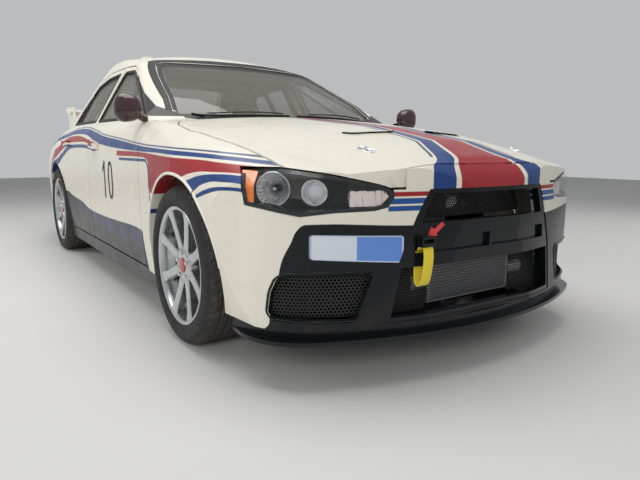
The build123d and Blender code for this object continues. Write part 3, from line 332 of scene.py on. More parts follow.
def withNose(colour, x, w, z):
    # black below a line that is read along the corner, then three short bands beside the mouth
    s = noseSet
    along = (x - w) * math.sqrt(0.5)
    colour = mixColour(above(heightOf(along, noseBlack), z), colour, blackPaint)
    beside = between(w, s["near"], s["far"]) * above(x, s["from"])
    for low, high, paint in s["bands"]:
        colour = mixColour(beside * between(z, low, high), colour, paint)
    return colour


def withBonnet(colour, x, w, z):
    # blue on both sides of red along the middle, and a thin line further out
    s = bonnetBand
    up = above(z, s["low"], 0.002)
    outer, inner, middle = (heightOf(x, s[k]) for k in ("blueOuter", "blueInner", "redOuter"))
    colour = mixColour(up * between(w, inner, outer), colour, blue)
    colour = mixColour(up * above(middle, w), colour, red)
    thin = every(up, between(w, outer + s["thin"][0], outer + s["thin"][1]), above(s["thinTo"], x))
    return mixColour(thin, colour, thinBlue)


def paintMaterial(name, *layers):
    # cream that wanders a little, the layers over it, then dirt low down and a fine ripple in the coat
    mat, shader, (place, x, w, z, y) = material(name, Coat_Weight=0.15, Coat_Roughness=0.06, Coat_IOR=1.40,
                                                Specular_IOR_Level=0.24)
    colour = mixColour(noise(place, 3.0), tuple(c - creamShift for c in cream),
                       tuple(c + creamShift for c in cream))
    for layer in layers:
        colour = layer(colour, x, w, z)
    grime = ranged(z, 0.15, 0.40, 0.10, 0.0) * ranged(noise(place, 14, 6), 0.4, 0.7, 0, 1)
    mixColour(grime, colour, grimeBrown).into(shader, "Base Color")
    ranged(noise(place, 9, 6), 0.3, 0.7, 0.22, 0.34).into(shader, "Roughness")
    bump(noise(place, 420, 2), 0.05, 0.0004).into(shader, "Coat Normal")
    return mat


bodyPaint = paintMaterial("bodyPaint", withSides)
nosePaint = paintMaterial("nosePaint", withSides, withNose, withBonnet)
bonnetPaint = paintMaterial("bonnetPaint", withBonnet)


# Other finishes
def simpleMaterial(name, colours, scale, roughness, height=0.0, **sockets):
    # colour and roughness wander between two values with noise, and a fine grain stands out
    mat, shader, (place, *others) = material(name, **sockets)
    mixColour(noise(place, scale), *colours).into(shader, "Base Color")
    ranged(noise(place, scale * 2.3), 0.3, 0.7, *roughness).into(shader, "Roughness")
    if height:
        bump(noise(place, scale * 20, 3), height).into(shader, "Normal")
    return mat


def glassMaterial(name, paintedReflection, alpha):
    # a thin pane: mostly clear; its colour is a painted reflection of the sky, brighter in patches
    mat, shader, (place, *others) = material(name, Roughness=0.02, IOR=1.5, Specular_IOR_Level=0.9,
                                             Alpha=alpha)
    # painted reflection: the pane's base colour stands in for the room seen in the glass
    mixColour(noise(place, 2.0), paintedReflection, tuple(c * 1.25 for c in paintedReflection)).into(shader, "Base Color")
    return mat


glossBlack = simpleMaterial("glossBlack", ((0.004, 0.0045, 0.006), (0.007, 0.008, 0.010)), 8, (0.14, 0.26),
                            0.02, Coat_Weight=0.2, Coat_Roughness=0.06, Specular_IOR_Level=0.25)
moulded = simpleMaterial("mouldedBlack", ((0.014, 0.014, 0.015), (0.024, 0.024, 0.025)), 30, (0.5, 0.7), 0.25)
rubberMat = simpleMaterial("tyreRubber", ((0.014, 0.014, 0.014), (0.030, 0.029, 0.028)), 25, (0.62, 0.85),
                           0.3)
alloy = simpleMaterial("alloySilver", ((0.50, 0.51, 0.51), (0.60, 0.61, 0.61)), 12, (0.20, 0.30), 0.03,
                       Metallic=0.9, Coat_Weight=0.5, Coat_Roughness=0.08)
steelGrey = simpleMaterial("chassisSteel", ((0.05, 0.05, 0.055), (0.09, 0.088, 0.085)), 18, (0.4, 0.65), 0.2)
castMetal = simpleMaterial("castMetal", ((0.30, 0.30, 0.31), (0.42, 0.42, 0.42)), 22, (0.35, 0.6), 0.35,
                           Metallic=0.9)
cageMat = simpleMaterial("cagePaint", ((0.52, 0.53, 0.54), (0.60, 0.61, 0.62)), 10, (0.3, 0.45), 0.05)
carbon = simpleMaterial("seatShell", ((0.012, 0.012, 0.013), (0.028, 0.028, 0.030)), 60, (0.18, 0.32), 0.05,
                        Coat_Weight=0.6)
chrome = simpleMaterial("brightMetal", ((0.80, 0.80, 0.82), (0.88, 0.88, 0.90)), 20, (0.04, 0.12),
                        Metallic=1.0)
# the panes' colours are painted reflections of the room
paneGlass = glassMaterial("paneGlass", (0.17, 0.165, 0.135), 0.36)
lampGlass = glassMaterial("lampGlass", (0.20, 0.21, 0.22), 0.05)
tailRed = simpleMaterial("tailRed", ((0.30, 0.008, 0.008), (0.42, 0.012, 0.010)), 14, (0.05, 0.15),
                         Coat_Weight=0.8)
cloth = simpleMaterial("seatCloth", ((0.018, 0.018, 0.022), (0.035, 0.035, 0.042)), 90, (0.8, 0.95), 0.5,
                       Sheen_Weight=0.4)


def atCorners(kind):
    return [f"{kind}_{end}_{hand}" for end in ("front", "rear") for hand, side in handSides]


finishes = (
    (bodyPaint, ["body_shell", "front_wings", "rear_bumper", "boot_lid", "rear_wing"] + atCorners("door")),
    (nosePaint, ["front_bumper"]),
    (bonnetPaint, ["bonnet"]),
    (glossBlack, ["splitter", "grille", "mirror_left", "mirror_right", "headlamp_housings"]),
    (moulded, ["duct_grilles", "dashboard", "steering_wheel", "mud_flaps"]),
    (paneGlass, ["screens"] + atCorners("glass")),
    (lampGlass, ["headlamp_lenses"]),
    (tailRed, ["tail_lamps"]),
    (alloy, atCorners("wheel")),
    (rubberMat, atCorners("tyre")),
    (steelGrey, ["floor_pan", "front_subframe", "rear_subframe", "knuckle_left", "knuckle_right"]),
    (castMetal, ["engine_block", "intercooler", "sump_guard", "exhaust"]),
    (cageMat, ["roll_cage"]),
    (carbon, ["seats"]),
    (cloth, ["seat_cushions"]),
)


def dress(names, mat):
    for name in names:
        node[name].data.materials.clear()
        node[name].data.materials.append(mat)


for mat, names in finishes:
    dress(names, mat)
print("paint and finishes set")


# Shapes: grids of points worked out with numpy
def around(count):
    return np.arange(count) * 2 * np.pi / count


def gridFaces(nu, nv, closeU=False, closeV=False):
    # quads of a grid whose points are numbered u * nv + v
    u = np.arange(nu if closeU else nu - 1)[:, None]
    v = np.arange(nv if closeV else nv - 1)[None, :]
    u2, v2 = (u + 1) % nu, (v + 1) % nv
    return np.stack([u * nv + v, u2 * nv + v, u2 * nv + v2, u * nv + v2], -1).reshape(-1, 4)


def volumeOf(verts, faces):
    # signed volume of a closed shell, from the fans of its faces
    a, b, c, d = (verts[faces[:, i]] for i in range(4))
    return (np.einsum("ij,ij->i", a, np.cross(b, c)) + np.einsum("ij,ij->i", a, np.cross(c, d))).sum()


class Pile:
    # collects grids and boxes that end up as one mesh
    def __init__(self):
        self.verts, self.faces, self.count = [], [], 0

    def add(self, verts, faces, flip=False):
        faces = np.asarray(faces)
        self.verts.append(np.asarray(verts, float).reshape(-1, 3))
        self.faces.append((faces[:, ::-1] if flip else faces) + self.count)
        self.count += len(self.verts[-1])
        return self

    def closed(self, points, ring=False):
        # a closed shell from rows that close on themselves; its ends are joined, or each gets a fan
        nu, nv = points.shape[:2]
        verts = points.reshape(-1, 3)
        faces = gridFaces(nu, nv, ring, True)
        if not ring:
            base = len(verts)
            verts = np.concatenate([verts, [points[0].mean(0), points[-1].mean(0)]])
            v = np.arange(nv)
            v2 = (v + 1) % nv
            low = np.stack([v, v2, np.full(nv, base), np.full(nv, base)], -1)
            last = (nu - 1) * nv
            high = np.stack([last + v2, last + v, np.full(nv, base + 1), np.full(nv, base + 1)], -1)
            faces = np.concatenate([faces, low, high])
        return self.add(verts, faces, flip=volumeOf(verts, faces) < 0)

    def sheet(self, points, thickness, direction=None):
        # an open grid given a wall: its copy is moved by thickness along direction and the rims are joined
        nu, nv = points.shape[:2]
        if direction is None:
            n = np.cross(np.gradient(points, axis=0), np.gradient(points, axis=1))
            n /= np.linalg.norm(n, axis=-1, keepdims=True) + 1e-12
        else:
            n = np.asarray(direction, float)
        verts = np.stack([points, points + n * thickness]).reshape(-1, 3)
        faces = gridFaces(nu, nv)
        edge = np.concatenate([np.arange(nv), np.arange(1, nu) * nv + nv - 1,
                               (nu - 1) * nv + np.arange(nv - 2, -1, -1),
                               np.arange(nu - 2, 0, -1) * nv])
        nxt = np.roll(edge, -1)
        side = np.stack([edge, nxt, nxt + nu * nv, edge + nu * nv], -1)
        faces = np.concatenate([faces[:, ::-1], faces + nu * nv, side])
        return self.add(verts, faces, flip=volumeOf(verts, faces) < 0)

    def mirrored(self, side):
        # moves what was made on the left over to the right when side is -1
        if side < 0:
            self.verts = [v * (1, -1, 1) for v in self.verts]
            self.faces = [f[:, ::-1] for f in self.faces]
        return self

    def make(self, name, mat, body, slotName, smooth=True):
        verts, faces = np.concatenate(self.verts), np.concatenate(self.faces)
        mesh = bpy.data.meshes.new(name)
        mesh.vertices.add(len(verts))
        mesh.vertices.foreach_set("co", verts.astype(np.float32).ravel())
        mesh.loops.add(faces.size)
        mesh.loops.foreach_set("vertex_index", faces.ravel().astype(np.int32))
        mesh.polygons.add(len(faces))
        mesh.polygons.foreach_set("loop_start", np.arange(len(faces), dtype=np.int32) * 4)
        mesh.polygons.foreach_set("loop_total", np.full(len(faces), 4, np.int32))
        mesh.polygons.foreach_set("use_smooth", np.full(len(faces), smooth))
        mesh.update()
        mesh.validate()
        mesh.materials.append(mat)
        piece = bpy.data.objects.new(name, mesh)
        scene.collection.objects.link(piece)
        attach(piece, body)
        return piece


def softEdge(piece, width, segments=2, angle=35):
    # rounds the sharp edges of a piece
    mod = piece.modifiers.new("edges", "BEVEL")
    mod.width, mod.segments, mod.limit_method, mod.angle_limit = width, segments, "ANGLE", math.radians(angle)
    mod.harden_normals = False
    return piece


def smoothByAngle(piece, angle=35):
    piece.data.set_sharp_from_angle(angle=math.radians(angle))
    return piece


def boxGrid(low, high):
    # the eight corners and six faces of a box
    (x0, y0, z0), (x1, y1, z1) = low, high
    verts = np.array([(x, y, z) for x in (x0, x1) for y in (y0, y1) for z in (z0, z1)])
    faces = np.array([(0, 1, 3, 2), (4, 6, 7, 5), (0, 4, 5, 1), (2, 3, 7, 6), (0, 2, 6, 4), (1, 5, 7, 3)])
    return verts, faces


def unitRows(vectors):
    return vectors / np.linalg.norm(vectors, axis=-1, keepdims=True)


def carried(path, profile, up=(0, 0, 1)):
    # a flat profile (side, up) carried along a path, square to it at every point
    path, profile = np.asarray(path, float), np.asarray(profile, float)
    ahead = unitRows(np.gradient(path, axis=0))
    side = unitRows(np.cross(ahead, np.asarray(up, float)))
    over = np.cross(side, ahead)
    return path[:, None] + side[:, None] * profile[None, :, :1] + over[:, None] * profile[None, :, 1:]


def circle(radius, count, squash=1.0):
    a = around(count)
    return np.stack([radius * np.cos(a), radius * squash * np.sin(a)], -1)


def roundedBox(width, height, radius, count):
    # a rectangle with round corners, as (side, up) points
    a = np.linspace(0, np.pi / 2, count)
    out = []
    for k, (sx, sy) in enumerate(((1, 1), (-1, 1), (-1, -1), (1, -1))):
        t = a + k * np.pi / 2
        side, up = sx * (width / 2 - radius), sy * (height / 2 - radius)
        out.append(np.stack([side + radius * np.cos(t), up + radius * np.sin(t)], -1))
    return np.concatenate(out)


def throughPoints(points, count):
    # a smooth line through a few points: Catmull-Rom pieces, count points in all
    p = np.asarray(points, float)
    p = np.concatenate([[2 * p[0] - p[1]], p, [2 * p[-1] - p[-2]]])
    t = np.linspace(0, len(p) - 3 - 1e-9, count)
    i = t.astype(int)
    f = (t - i)[:, None]
    a, b, c, d = p[i], p[i + 1], p[i + 2], p[i + 3]
    square, cube = (2 * a - 5 * b + 4 * c - d) * f ** 2, (3 * b - a - 3 * c + d) * f ** 3
    return 0.5 * (2 * b + (c - a) * f + square + cube)


# Wheels and tyres: (radius, along) profiles turned about the axle
wheelSet = {"frontX": 1.392, "rearX": -1.258, "middleY": 0.772, "height": 0.325, "spokes": 8,
            "spokeTurn": 22.5,
            "hubFace": 0.086, "lipFace": 0.1035, "spokeDepth": 0.036, "spokeRoot": 0.052, "spokeWaist": 0.040,
            "spokeTip": 0.058, "chamfer": 0.0045, "reach": (0.040, 0.2275), "nuts": 5, "nutTurn": 18,
            "nutCircle": 0.052}
tyreSet = {"turns": 400, "grooves": (-0.052, -0.018, 0.018, 0.052), "grooveWidth": 0.0045,
           "grooveDepth": 0.006,
           "cuts": 50, "slant": 9.0, "cutDepth": 0.75, "treadHalf": 0.086, "crown": 0.3250,
           "treadFrom": 0.300, "ribFrom": 0.246, "ribSpan": 0.054, "ribHeight": 0.0005,
           "shoulder": ((0.2300, 0.098), (0.2360, 0.1035), (0.2440, 0.1045), (0.2530, 0.1120),
                        (0.2660, 0.1172), (0.2820, 0.1178), (0.2980, 0.1150), (0.3100, 0.1085),
                        (0.3190, 0.0985), (0.3232, 0.0880)),
           "bore": ((0.2300, -0.080), (0.2960, -0.092), (0.2960, 0.092), (0.2300, 0.080))}
turnedSet = {
    "rim": ((0.2412, 0.1085), (0.2425, 0.1065), (0.2412, 0.1040), (0.2310, 0.0985), (0.2290, 0.0900),
            (0.2290, 0.0600), (0.2120, 0.0400), (0.2120, -0.0340), (0.2290, -0.0520), (0.2290, -0.0970),
            (0.2380, -0.1035), (0.2380, -0.1080), (0.2230, -0.1080), (0.2180, -0.0580), (0.2060, -0.0380),
            (0.2050, 0.0300), (0.2090, 0.0480), (0.2190, 0.0640), (0.2225, 0.0800), (0.2240, 0.0960),
            (0.2270, 0.1035), (0.2330, 0.1078), (0.2380, 0.1090)),
    "hub": ((0.0001, 0.0880), (0.0300, 0.0880), (0.0335, 0.0895), (0.0400, 0.0900), (0.0640, 0.0890),
            (0.0720, 0.0860), (0.0760, 0.0780), (0.0770, 0.0500), (0.0700, 0.0440), (0.0001, 0.0440)),
    "cap": ((0.0001, 0.0960), (0.0190, 0.0955), (0.0270, 0.0940), (0.0295, 0.0910), (0.0300, 0.0780),
            (0.0001, 0.0780)),
    "nut": ((0.0001, 0.098), (0.0060, 0.098), (0.0092, 0.0965), (0.0098, 0.080), (0.0001, 0.080)),
    "valve": ((0.0001, 0.118), (0.0028, 0.117), (0.0030, 0.096), (0.0042, 0.094), (0.0042, 0.084),
              (0.0001, 0.084)),
    "disc": ((0.0920, 0.0140), (0.0920, 0.0270), (0.1640, 0.0270), (0.1650, 0.0260), (0.1650, 0.0150),
             (0.1640, 0.0140)),
    "bell": ((0.0001, 0.0440), (0.0700, 0.0440), (0.0800, 0.0400), (0.0840, 0.0270), (0.0930, 0.0265),
             (0.0930, 0.0150), (0.0700, 0.0150), (0.0001, 0.0150)),
}
hubCap = simpleMaterial("wheelCap", ((0.33, 0.05, 0.04), (0.42, 0.07, 0.055)), 40, (0.25, 0.4), 0.05,
                        Coat_Weight=0.5)
discMetal = simpleMaterial("discMetal", ((0.10, 0.10, 0.105), (0.17, 0.17, 0.175)), 60, (0.30, 0.5), 0.2,
                           Metallic=1.0)


def lathe(profile, count):
    # (radius, along) points turned about Y: x = r cos a, z = r sin a
    a = around(count)
    profile = np.asarray(profile)
    r, along = profile[:, 0][:, None], profile[:, 1][:, None]
    return np.stack([r * np.cos(a), along + 0 * a, r * np.sin(a)], -1)


def tyrePoints(s):
    # a smooth closed section; the tread gets round grooves and slanting cuts, the wall thin rings
    outer = throughPoints(s["shoulder"], 30)
    tread = np.linspace(s["treadHalf"], -s["treadHalf"], 64)
    crown = np.stack([s["crown"] - 0.0016 * (tread / s["treadHalf"]) ** 2, tread], -1)
    p = lathe(np.concatenate([outer, crown, outer[::-1] * (1, -1), s["bore"]]), s["turns"])
    r = np.hypot(p[..., 0], p[..., 2])
    a = np.arctan2(p[..., 2], p[..., 0])
    y = p[..., 1]
    depth = np.zeros_like(r)
    for g in s["grooves"]:
        depth = np.maximum(depth, np.clip(1.6 - np.abs(y - g) / s["grooveWidth"] * 1.2, 0, 1))
    wave = (a / (2 * np.pi) * s["cuts"] + np.abs(y) * s["slant"]) % 1.0
    cut = (np.abs(wave - 0.5) < 0.075) & (np.abs(y) > 0.026) & (np.abs(y) < 0.100) & (r > s["treadFrom"])
    depth = np.maximum(depth, cut * s["cutDepth"])
    onTread = (r > s["treadFrom"]) & (np.abs(y) < 0.1005)
    r2 = r - depth * onTread * s["grooveDepth"]
    ribs = (r > s["ribFrom"]) & (r < s["treadFrom"]) & (np.abs(y) > 0.1)
    y2 = y + np.sign(y) * ribs * s["ribHeight"] * np.cos((r - s["ribFrom"]) / s["ribSpan"] * 10 * np.pi)
    return np.stack([r2 * np.cos(a), y2, r2 * np.sin(a)], -1)


def spokePoints(s, turn):
    # a bar from the hub to the lip: flat face, chamfered sides, waisted, its face rising towards the lip
    u = np.linspace(0, 1, 15)
    reach = s["reach"][0] + (s["reach"][1] - s["reach"][0]) * u
    widths = s["spokeRoot"], s["spokeWaist"], s["spokeWaist"], s["spokeTip"]
    half = np.interp(u, (0, 0.35, 0.8, 1), widths) / 2
    face = s["hubFace"] + (s["lipFace"] - s["hubFace"]) * np.clip((u - 0.12) / 0.88, 0, 1) ** 1.4
    depth = np.interp(u, (0, 0.8, 1), (s["spokeDepth"], s["spokeDepth"] * 0.95, s["spokeDepth"] * 0.9))
    c = s["chamfer"]
    across = np.stack([half - c, half, half * 0.86, -half * 0.86, -half, -(half - c)], -1)
    along = np.stack([face, face - c, face - depth, face - depth, face - c, face], -1)
    x = reach[:, None] * np.cos(turn) - across * np.sin(turn)
    z = reach[:, None] * np.sin(turn) + across * np.cos(turn)
    return np.stack([x, along, z], -1)


def rubberMaterial(name, axleX):
    # rings moulded into the wall, a dusty tread
    mat, shader, (place, x, w, z, y) = material(name)
    across, upward = x - axleX, z - wheelSet["height"]
    r = joined("SQRT", across * across + upward * upward)
    dust = ranged(r, 0.312, 0.324, 0, 1) * ranged(noise(place, 30, 6), 0.35, 0.7, 0.2, 1)
    base = mixColour(noise(place, 18), (0.012, 0.012, 0.0125), (0.024, 0.0235, 0.023))
    mixColour(dust, base, (0.075, 0.068, 0.060)).into(shader, "Base Color")
    ranged(noise(place, 50), 0.3, 0.7, 0.55, 0.8).into(shader, "Roughness")
    grain = joined("SINE", r * 1400.0) * 0.25 + noise(place, 600, 2)
    bump(grain, 0.25, 0.0006).into(shader, "Normal")
    return mat


def wheelPieces(end, hand, side, axleX, rubber):
    s = wheelSet
    body, label = f"wheel_{end}_{hand}", end + hand.title()

    def put(points):
        return points * (1, side, 1) + np.array([axleX, side * s["middleY"], s["height"]])

    tyre = Pile().closed(put(tyreShape), ring=True).make(label + "Tyre", rubber, body, "tyre_rubber")
    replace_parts(tyre, f"tyre_{end}_{hand}")
    pile = Pile().closed(put(lathe(turnedSet["rim"], 144)), ring=True)
    for k in range(s["spokes"]):
        pile.closed(put(spokePoints(s, math.radians(s["spokeTurn"] + k * 360 / s["spokes"]))))
    wheel = pile.closed(put(lathe(turnedSet["hub"], 64))).make(label + "Wheel", alloy, body, "wheel_alloy")
    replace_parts(smoothByAngle(wheel, 32), body)
    pile = Pile().closed(put(lathe(turnedSet["cap"], 40)))
    smoothByAngle(pile.make(label + "Cap", hubCap, body, "wheel_alloy"))
    pile = Pile()
    for k in range(s["nuts"]):
        a = math.radians(s["nutTurn"] + k * 360 / s["nuts"])
        place = s["nutCircle"] * math.cos(a), 0, s["nutCircle"] * math.sin(a)
        pile.closed(put(lathe(turnedSet["nut"], 6) + place))
    pile.closed(put(lathe(turnedSet["valve"], 10) * (1, 0.9, 1) + (0.213, -0.008, 0.0)))
    smoothByAngle(pile.make(label + "Nuts", chrome, body, "wheel_alloy"))
    pile = Pile().closed(put(lathe(turnedSet["disc"], 96)),
                         ring=True).closed(put(lathe(turnedSet["bell"], 64)))
    smoothByAngle(pile.make(label + "Disc", discMetal, body, "engine_metal"), 30)


tyreShape = tyrePoints(tyreSet)
for end, axleX in (("front", wheelSet["frontX"]), ("rear", wheelSet["rearX"])):
    rubberHere = rubberMaterial(end + "Tyre", axleX)
    for hand, side in handSides:
        wheelPieces(end, hand, side, axleX, rubberHere)
print("wheels and tyres made")


# Skin: flat grids dropped onto the CAD model's surfaces
def onSkin(points, direction, target, lift=0.0):
    # drops points along a direction onto a node and lifts them off it again, back along the same direction
    z = np.asarray(direction, float) / np.linalg.norm(direction)
    x = np.cross((0, 0, 1) if abs(z[2]) < 0.9 else (1, 0, 0), z)
    x /= np.linalg.norm(x)
    turn = np.stack([x, np.cross(z, x), z], -1)
    local = (points.reshape(-1, 3) @ turn).astype(np.float32)
    mesh = bpy.data.meshes.new("drop")
    mesh.vertices.add(len(local))
    mesh.vertices.foreach_set("co", local.ravel())
    probe = bpy.data.objects.new("drop", mesh)
    scene.collection.objects.link(probe)
    probe.matrix_world = Matrix(turn.tolist()).to_4x4()
    mod = probe.modifiers.new("drop", "SHRINKWRAP")
    mod.target, mod.wrap_method, mod.use_project_z = node[target], "PROJECT", True
    mod.use_negative_direction, mod.use_positive_direction = False, True
    dropped = probe.evaluated_get(bpy.context.evaluated_depsgraph_get()).data
    found = np.empty(len(local) * 3, np.float32)
    dropped.vertices.foreach_get("co", found)
    found = found.reshape(-1, 3).astype(float)
    missed = np.abs(found - local).max(1) < 1e-6
    found[:, 2] -= lift
    hit = found @ turn.T
    hit[missed] = np.nan
    bpy.data.objects.remove(probe)
    bpy.data.meshes.remove(mesh)
    return hit.reshape(points.shape)


def laid(points, direction, target, lift=0.0):
    # dropped on the skin; points that missed it take the place of the next one along the grid that didn't
    points = onSkin(points, direction, target, lift)
    flat = points.reshape(-1, 3)
    bad = np.isnan(flat[:, 0])
    if bad.any() and not bad.all():
        good = np.flatnonzero(~bad)
        flat[bad] = flat[good[np.clip(np.searchsorted(good, np.flatnonzero(bad)), 0, len(good) - 1)]]
    return flat.reshape(points.shape)


def flatGrid(axis, level, first, second):
    # a grid on a plane square to an axis, from its two other coordinates
    first, second = np.broadcast_arrays(first, second)
    rest = [first, second]
    rest.insert(axis, np.full(first.shape, level))
    return np.stack(rest, -1)


def ribbon(pile, centre, width, height, target, direction, sink=0.001, corner=0.35):
    # a raised strip along a line on the skin: its section is a low rounded hump across the line
    line = np.asarray(centre, float)
    down = np.asarray(direction, float) / np.linalg.norm(direction)
    side = unitRows(np.cross(unitRows(np.gradient(line, axis=0)), down))
    t = np.array([-1, -1 + corner * 0.5, -1 + corner, 1 - corner, 1 - corner * 0.5, 1])
    rise = np.array([0, 0.75, 1, 1, 0.75, 0])[None, :, None] * height
    across = line[:, None] + side[:, None] * (t[None, :, None] * width / 2) - down * 0.3
    top = laid(across, down, target) - down * (rise - sink * (rise == 0))
    under = top[:, ::-1] + down * (height + sink)
    return pile.closed(np.concatenate([top, under[:, 1:-1]], axis=1))


def outwardOf(line, closed=True):
    # unit vectors in the outline's own plane that point away from its middle
    ahead = unitRows(np.roll(line, -1, 0) - np.roll(line, 1, 0) if closed else np.gradient(line, axis=0))
    out = np.stack([ahead[:, 1], -ahead[:, 0]], -1)
    return out * np.sign(np.sum(out * (line - line.mean(0)), axis=1).sum())


def closedLine(outline, count, radius=0.0):
    # the outline walked at even steps, its corners rounded by a moving average
    o = np.asarray(outline, float)
    o = np.concatenate([o, o[:1]])
    run = np.concatenate([[0], np.cumsum(np.linalg.norm(np.diff(o, axis=0), axis=1))])
    t = np.linspace(0, run[-1], count, endpoint=False)
    p = np.stack([np.interp(t, run, o[:, k]) for k in (0, 1)], -1)
    span = max(1, int(radius / run[-1] * count))
    kernel = np.ones(span) / span
    padded = np.concatenate([p[-span:], p, p[:span]])
    return np.stack([np.convolve(padded[:, k], kernel, "same")[span:-span] for k in (0, 1)], -1)


def columnsOf(outline, columns, rows):
    # a grid that fills an outline: upright columns from its lower to its upper edge
    p = np.asarray(outline, float)
    at = np.linspace(p[:, 0].min() + 1e-4, p[:, 0].max() - 1e-4, columns)
    edges = []
    for a, b in zip(p, np.roll(p, -1, 0)):
        (h0, z0), (h1, z1) = (a, b) if a[0] < b[0] else (b, a)
        if h0 != h1:
            edges.append(np.interp(at, [h0, h1], [z0, z1], left=np.nan, right=np.nan))
    low, high = np.nanmin(edges, axis=0), np.nanmax(edges, axis=0)
    z = low[:, None] + (high - low)[:, None] * np.linspace(0, 1, rows)
    return at[:, None] + 0 * z, z


# Headlamps: a fluted reflector, a projector, an amber corner and a clear indicator
cornerAlong = np.array([1, -1, 0]) / math.sqrt(2)     # along the left front corner, growing to the nose
cornerOut = np.array([1, 1, 0]) / math.sqrt(2)        # straight out of the left front corner
reflectorSet = {"along": 0.850, "height": 0.662, "radius": 0.0545, "face": 1.912, "deep": 0.046, "flutes": 26,
                "ripple": 0.0040}
projectorSet = {"along": 0.985, "height": 0.652, "radius": 0.0405, "face": 1.898, "deep": 0.044, "flutes": 1,
                "ripple": 0.0, "eye": 0.027}
ringSet = ((reflectorSet, 0.0, 0.0560, 0.0022), (projectorSet, 0.002, 0.0415, 0.0038),
           (projectorSet, -0.022, 0.0290, 0.0026))
bulbProfile = np.array([(0.0001, 0.034), (0.0045, 0.033), (0.0065, 0.028), (0.0065, 0.006), (0.010, 0.002),
                        (0.010, -0.004), (0.0001, -0.004)])
amberOutline = ((0.722, 0.722), (0.790, 0.722), (0.776, 0.660), (0.790, 0.618), (0.764, 0.618),
                (0.748, 0.690))
clearOutline = ((1.090, 0.690), (1.150, 0.682), (1.205, 0.664), (1.222, 0.640), (1.196, 0.610),
                (1.100, 0.608))
innerSet = {"wall": 0.0015, "lensWall": 0.003, "deep": 0.0135, "start": 2.3}     # deep: from the lens inwards
amberLens = simpleMaterial("amberLens", ((0.78, 0.16, 0.01), (0.88, 0.24, 0.02)), 90, (0.12, 0.25), 0.25,
                           Coat_Weight=1.0)
clearLens = simpleMaterial("clearLens", ((0.74, 0.62, 0.60), (0.86, 0.78, 0.76)), 120, (0.06, 0.16), 0.5,
                           Coat_Weight=1.0)
mirrorMetal = simpleMaterial("mirrorMetal", ((0.62, 0.62, 0.63), (0.93, 0.93, 0.94)), 60, (0.03, 0.08), 0.02,
                             Metallic=1.0)
eyeGlass = simpleMaterial("eyeGlass", ((0.55, 0.60, 0.64), (0.70, 0.74, 0.78)), 10, (0.02, 0.05),
                          Coat_Weight=1.0, Specular_IOR_Level=0.8)


def cornerPoint(along, height, out):
    along, height, out = np.broadcast_arrays(along, height, out)
    upward = np.array([0, 0, 1])
    return along[..., None] * cornerAlong + out[..., None] * cornerOut + height[..., None] * upward


def cornerTurned(s, radius, out, count):
    # circles about the lamp's own line, which points straight out of the corner: one row for each radius
    a = around(count)
    return cornerPoint(s["along"] + radius * np.cos(a), s["height"] + radius * np.sin(a), s["face"] + out)


def dish(s, curve, nu, nv):
    # a round bowl: radius grows with u, depth follows the curve, and flutes ripple it
    u = np.linspace(0.02, 1, nu)[:, None]
    a = around(nv)
    depth = s["deep"] * curve(u) + s["ripple"] * np.cos(a * s["flutes"]) * np.sin(np.pi * u) ** 0.5
    bowl = cornerTurned(s, s["radius"] * u, -depth, nv)
    return Pile().sheet(np.concatenate([bowl, bowl[:, :1]], 1), innerSet["wall"], -cornerOut)


def roundBar(pile, s, out, radius, wall):
    # a ring: a small circle carried round a large one, flat to the corner's outward line
    a, b = around(64)[:, None], around(12)[None, :]
    r = radius + wall * np.cos(b)
    pile.closed(cornerPoint(s["along"] + r * np.cos(a), s["height"] + r * np.sin(a),
                            s["face"] + out + wall * np.sin(b)),
                ring=True)


def innerLens(outline):
    # an outline's filled grid, laid under the inside of the lamp's lens
    along, height = columnsOf(outline, 24, 24)
    start = cornerPoint(along, height, innerSet["start"])
    skin = laid(start, -cornerOut, "headlamp_lenses") - cornerOut * innerSet["deep"]
    return Pile().sheet(skin, innerSet["lensWall"], -cornerOut)


def headlamp(hand, side):
    bowl = dish(reflectorSet, lambda u: 1 - u ** 2 * 0.92, 14, 104)
    bowl.mirrored(side).make(hand + "Reflector", mirrorMetal, "root", "lamp_body", smooth=False)
    pile = dish(projectorSet, lambda u: np.clip(1.1 - u * 1.05, 0, 1), 10, 64)
    for s, out, radius, wall in ringSet:
        roundBar(pile, s, out, radius, wall)
    r, out = bulbProfile[:, :1], bulbProfile[:, 1:]
    pile.closed(cornerTurned(reflectorSet, r, out - reflectorSet["deep"], 24))
    pile.mirrored(side).make(hand + "LampRings", mirrorMetal, "root", "lamp_body")
    u = np.linspace(0, np.pi / 2, 14)[:, None]
    front = cornerTurned(projectorSet, projectorSet["eye"] * np.sin(u), 0.017 * np.cos(u) - 0.030, 40)
    eye = Pile().closed(np.concatenate([front, front[-2:-1] - cornerOut * 0.006]))
    eye.mirrored(side).make(hand + "LampEye", eyeGlass, "root", "lamp_glass")
    for label, outline, mat in (("LampAmber", amberOutline, amberLens),
                                ("LampClear", clearOutline, clearLens)):
        innerLens(outline).mirrored(side).make(hand + label, mat, "root", "lamp_glass")


for hand, side in handSides:
    headlamp(hand, side)
print("headlamps made")

# Nose: honeycomb in the ducts, raised lips, mesh and cooler in the mouth
ductSet = {"outline": ((0.846, 0.262), (0.856, 0.328), (0.877, 0.373), (0.912, 0.386), (1.162, 0.386),
                       (1.172, 0.375), (1.129, 0.248), (1.114, 0.240), (0.866, 0.248)),
           "cell": 0.0125, "wall": 0.0022, "deep": 0.012, "front": 0.016, "back": 0.030, "tunnelWall": 0.003,
           "lip": 0.012, "lipHeight": 0.004}
mouthMesh = {"low": 0.556, "high": 0.652, "half": 0.312, "taper": 0.40, "cell": 0.0095, "wall": 0.0018,
             "deep": 0.004, "x": 2.130, "bow": 0.22}
cornerMesh = {"low": 0.232, "high": 0.402, "near": 0.236, "far": 0.425, "lean": 0.03, "cell": 0.012,
              "wall": 0.002, "deep": 0.006, "x": 2.150, "sweep": 0.05}
coreSet = {"low": 0.256, "tube": 0.0055, "fin": 0.0022}


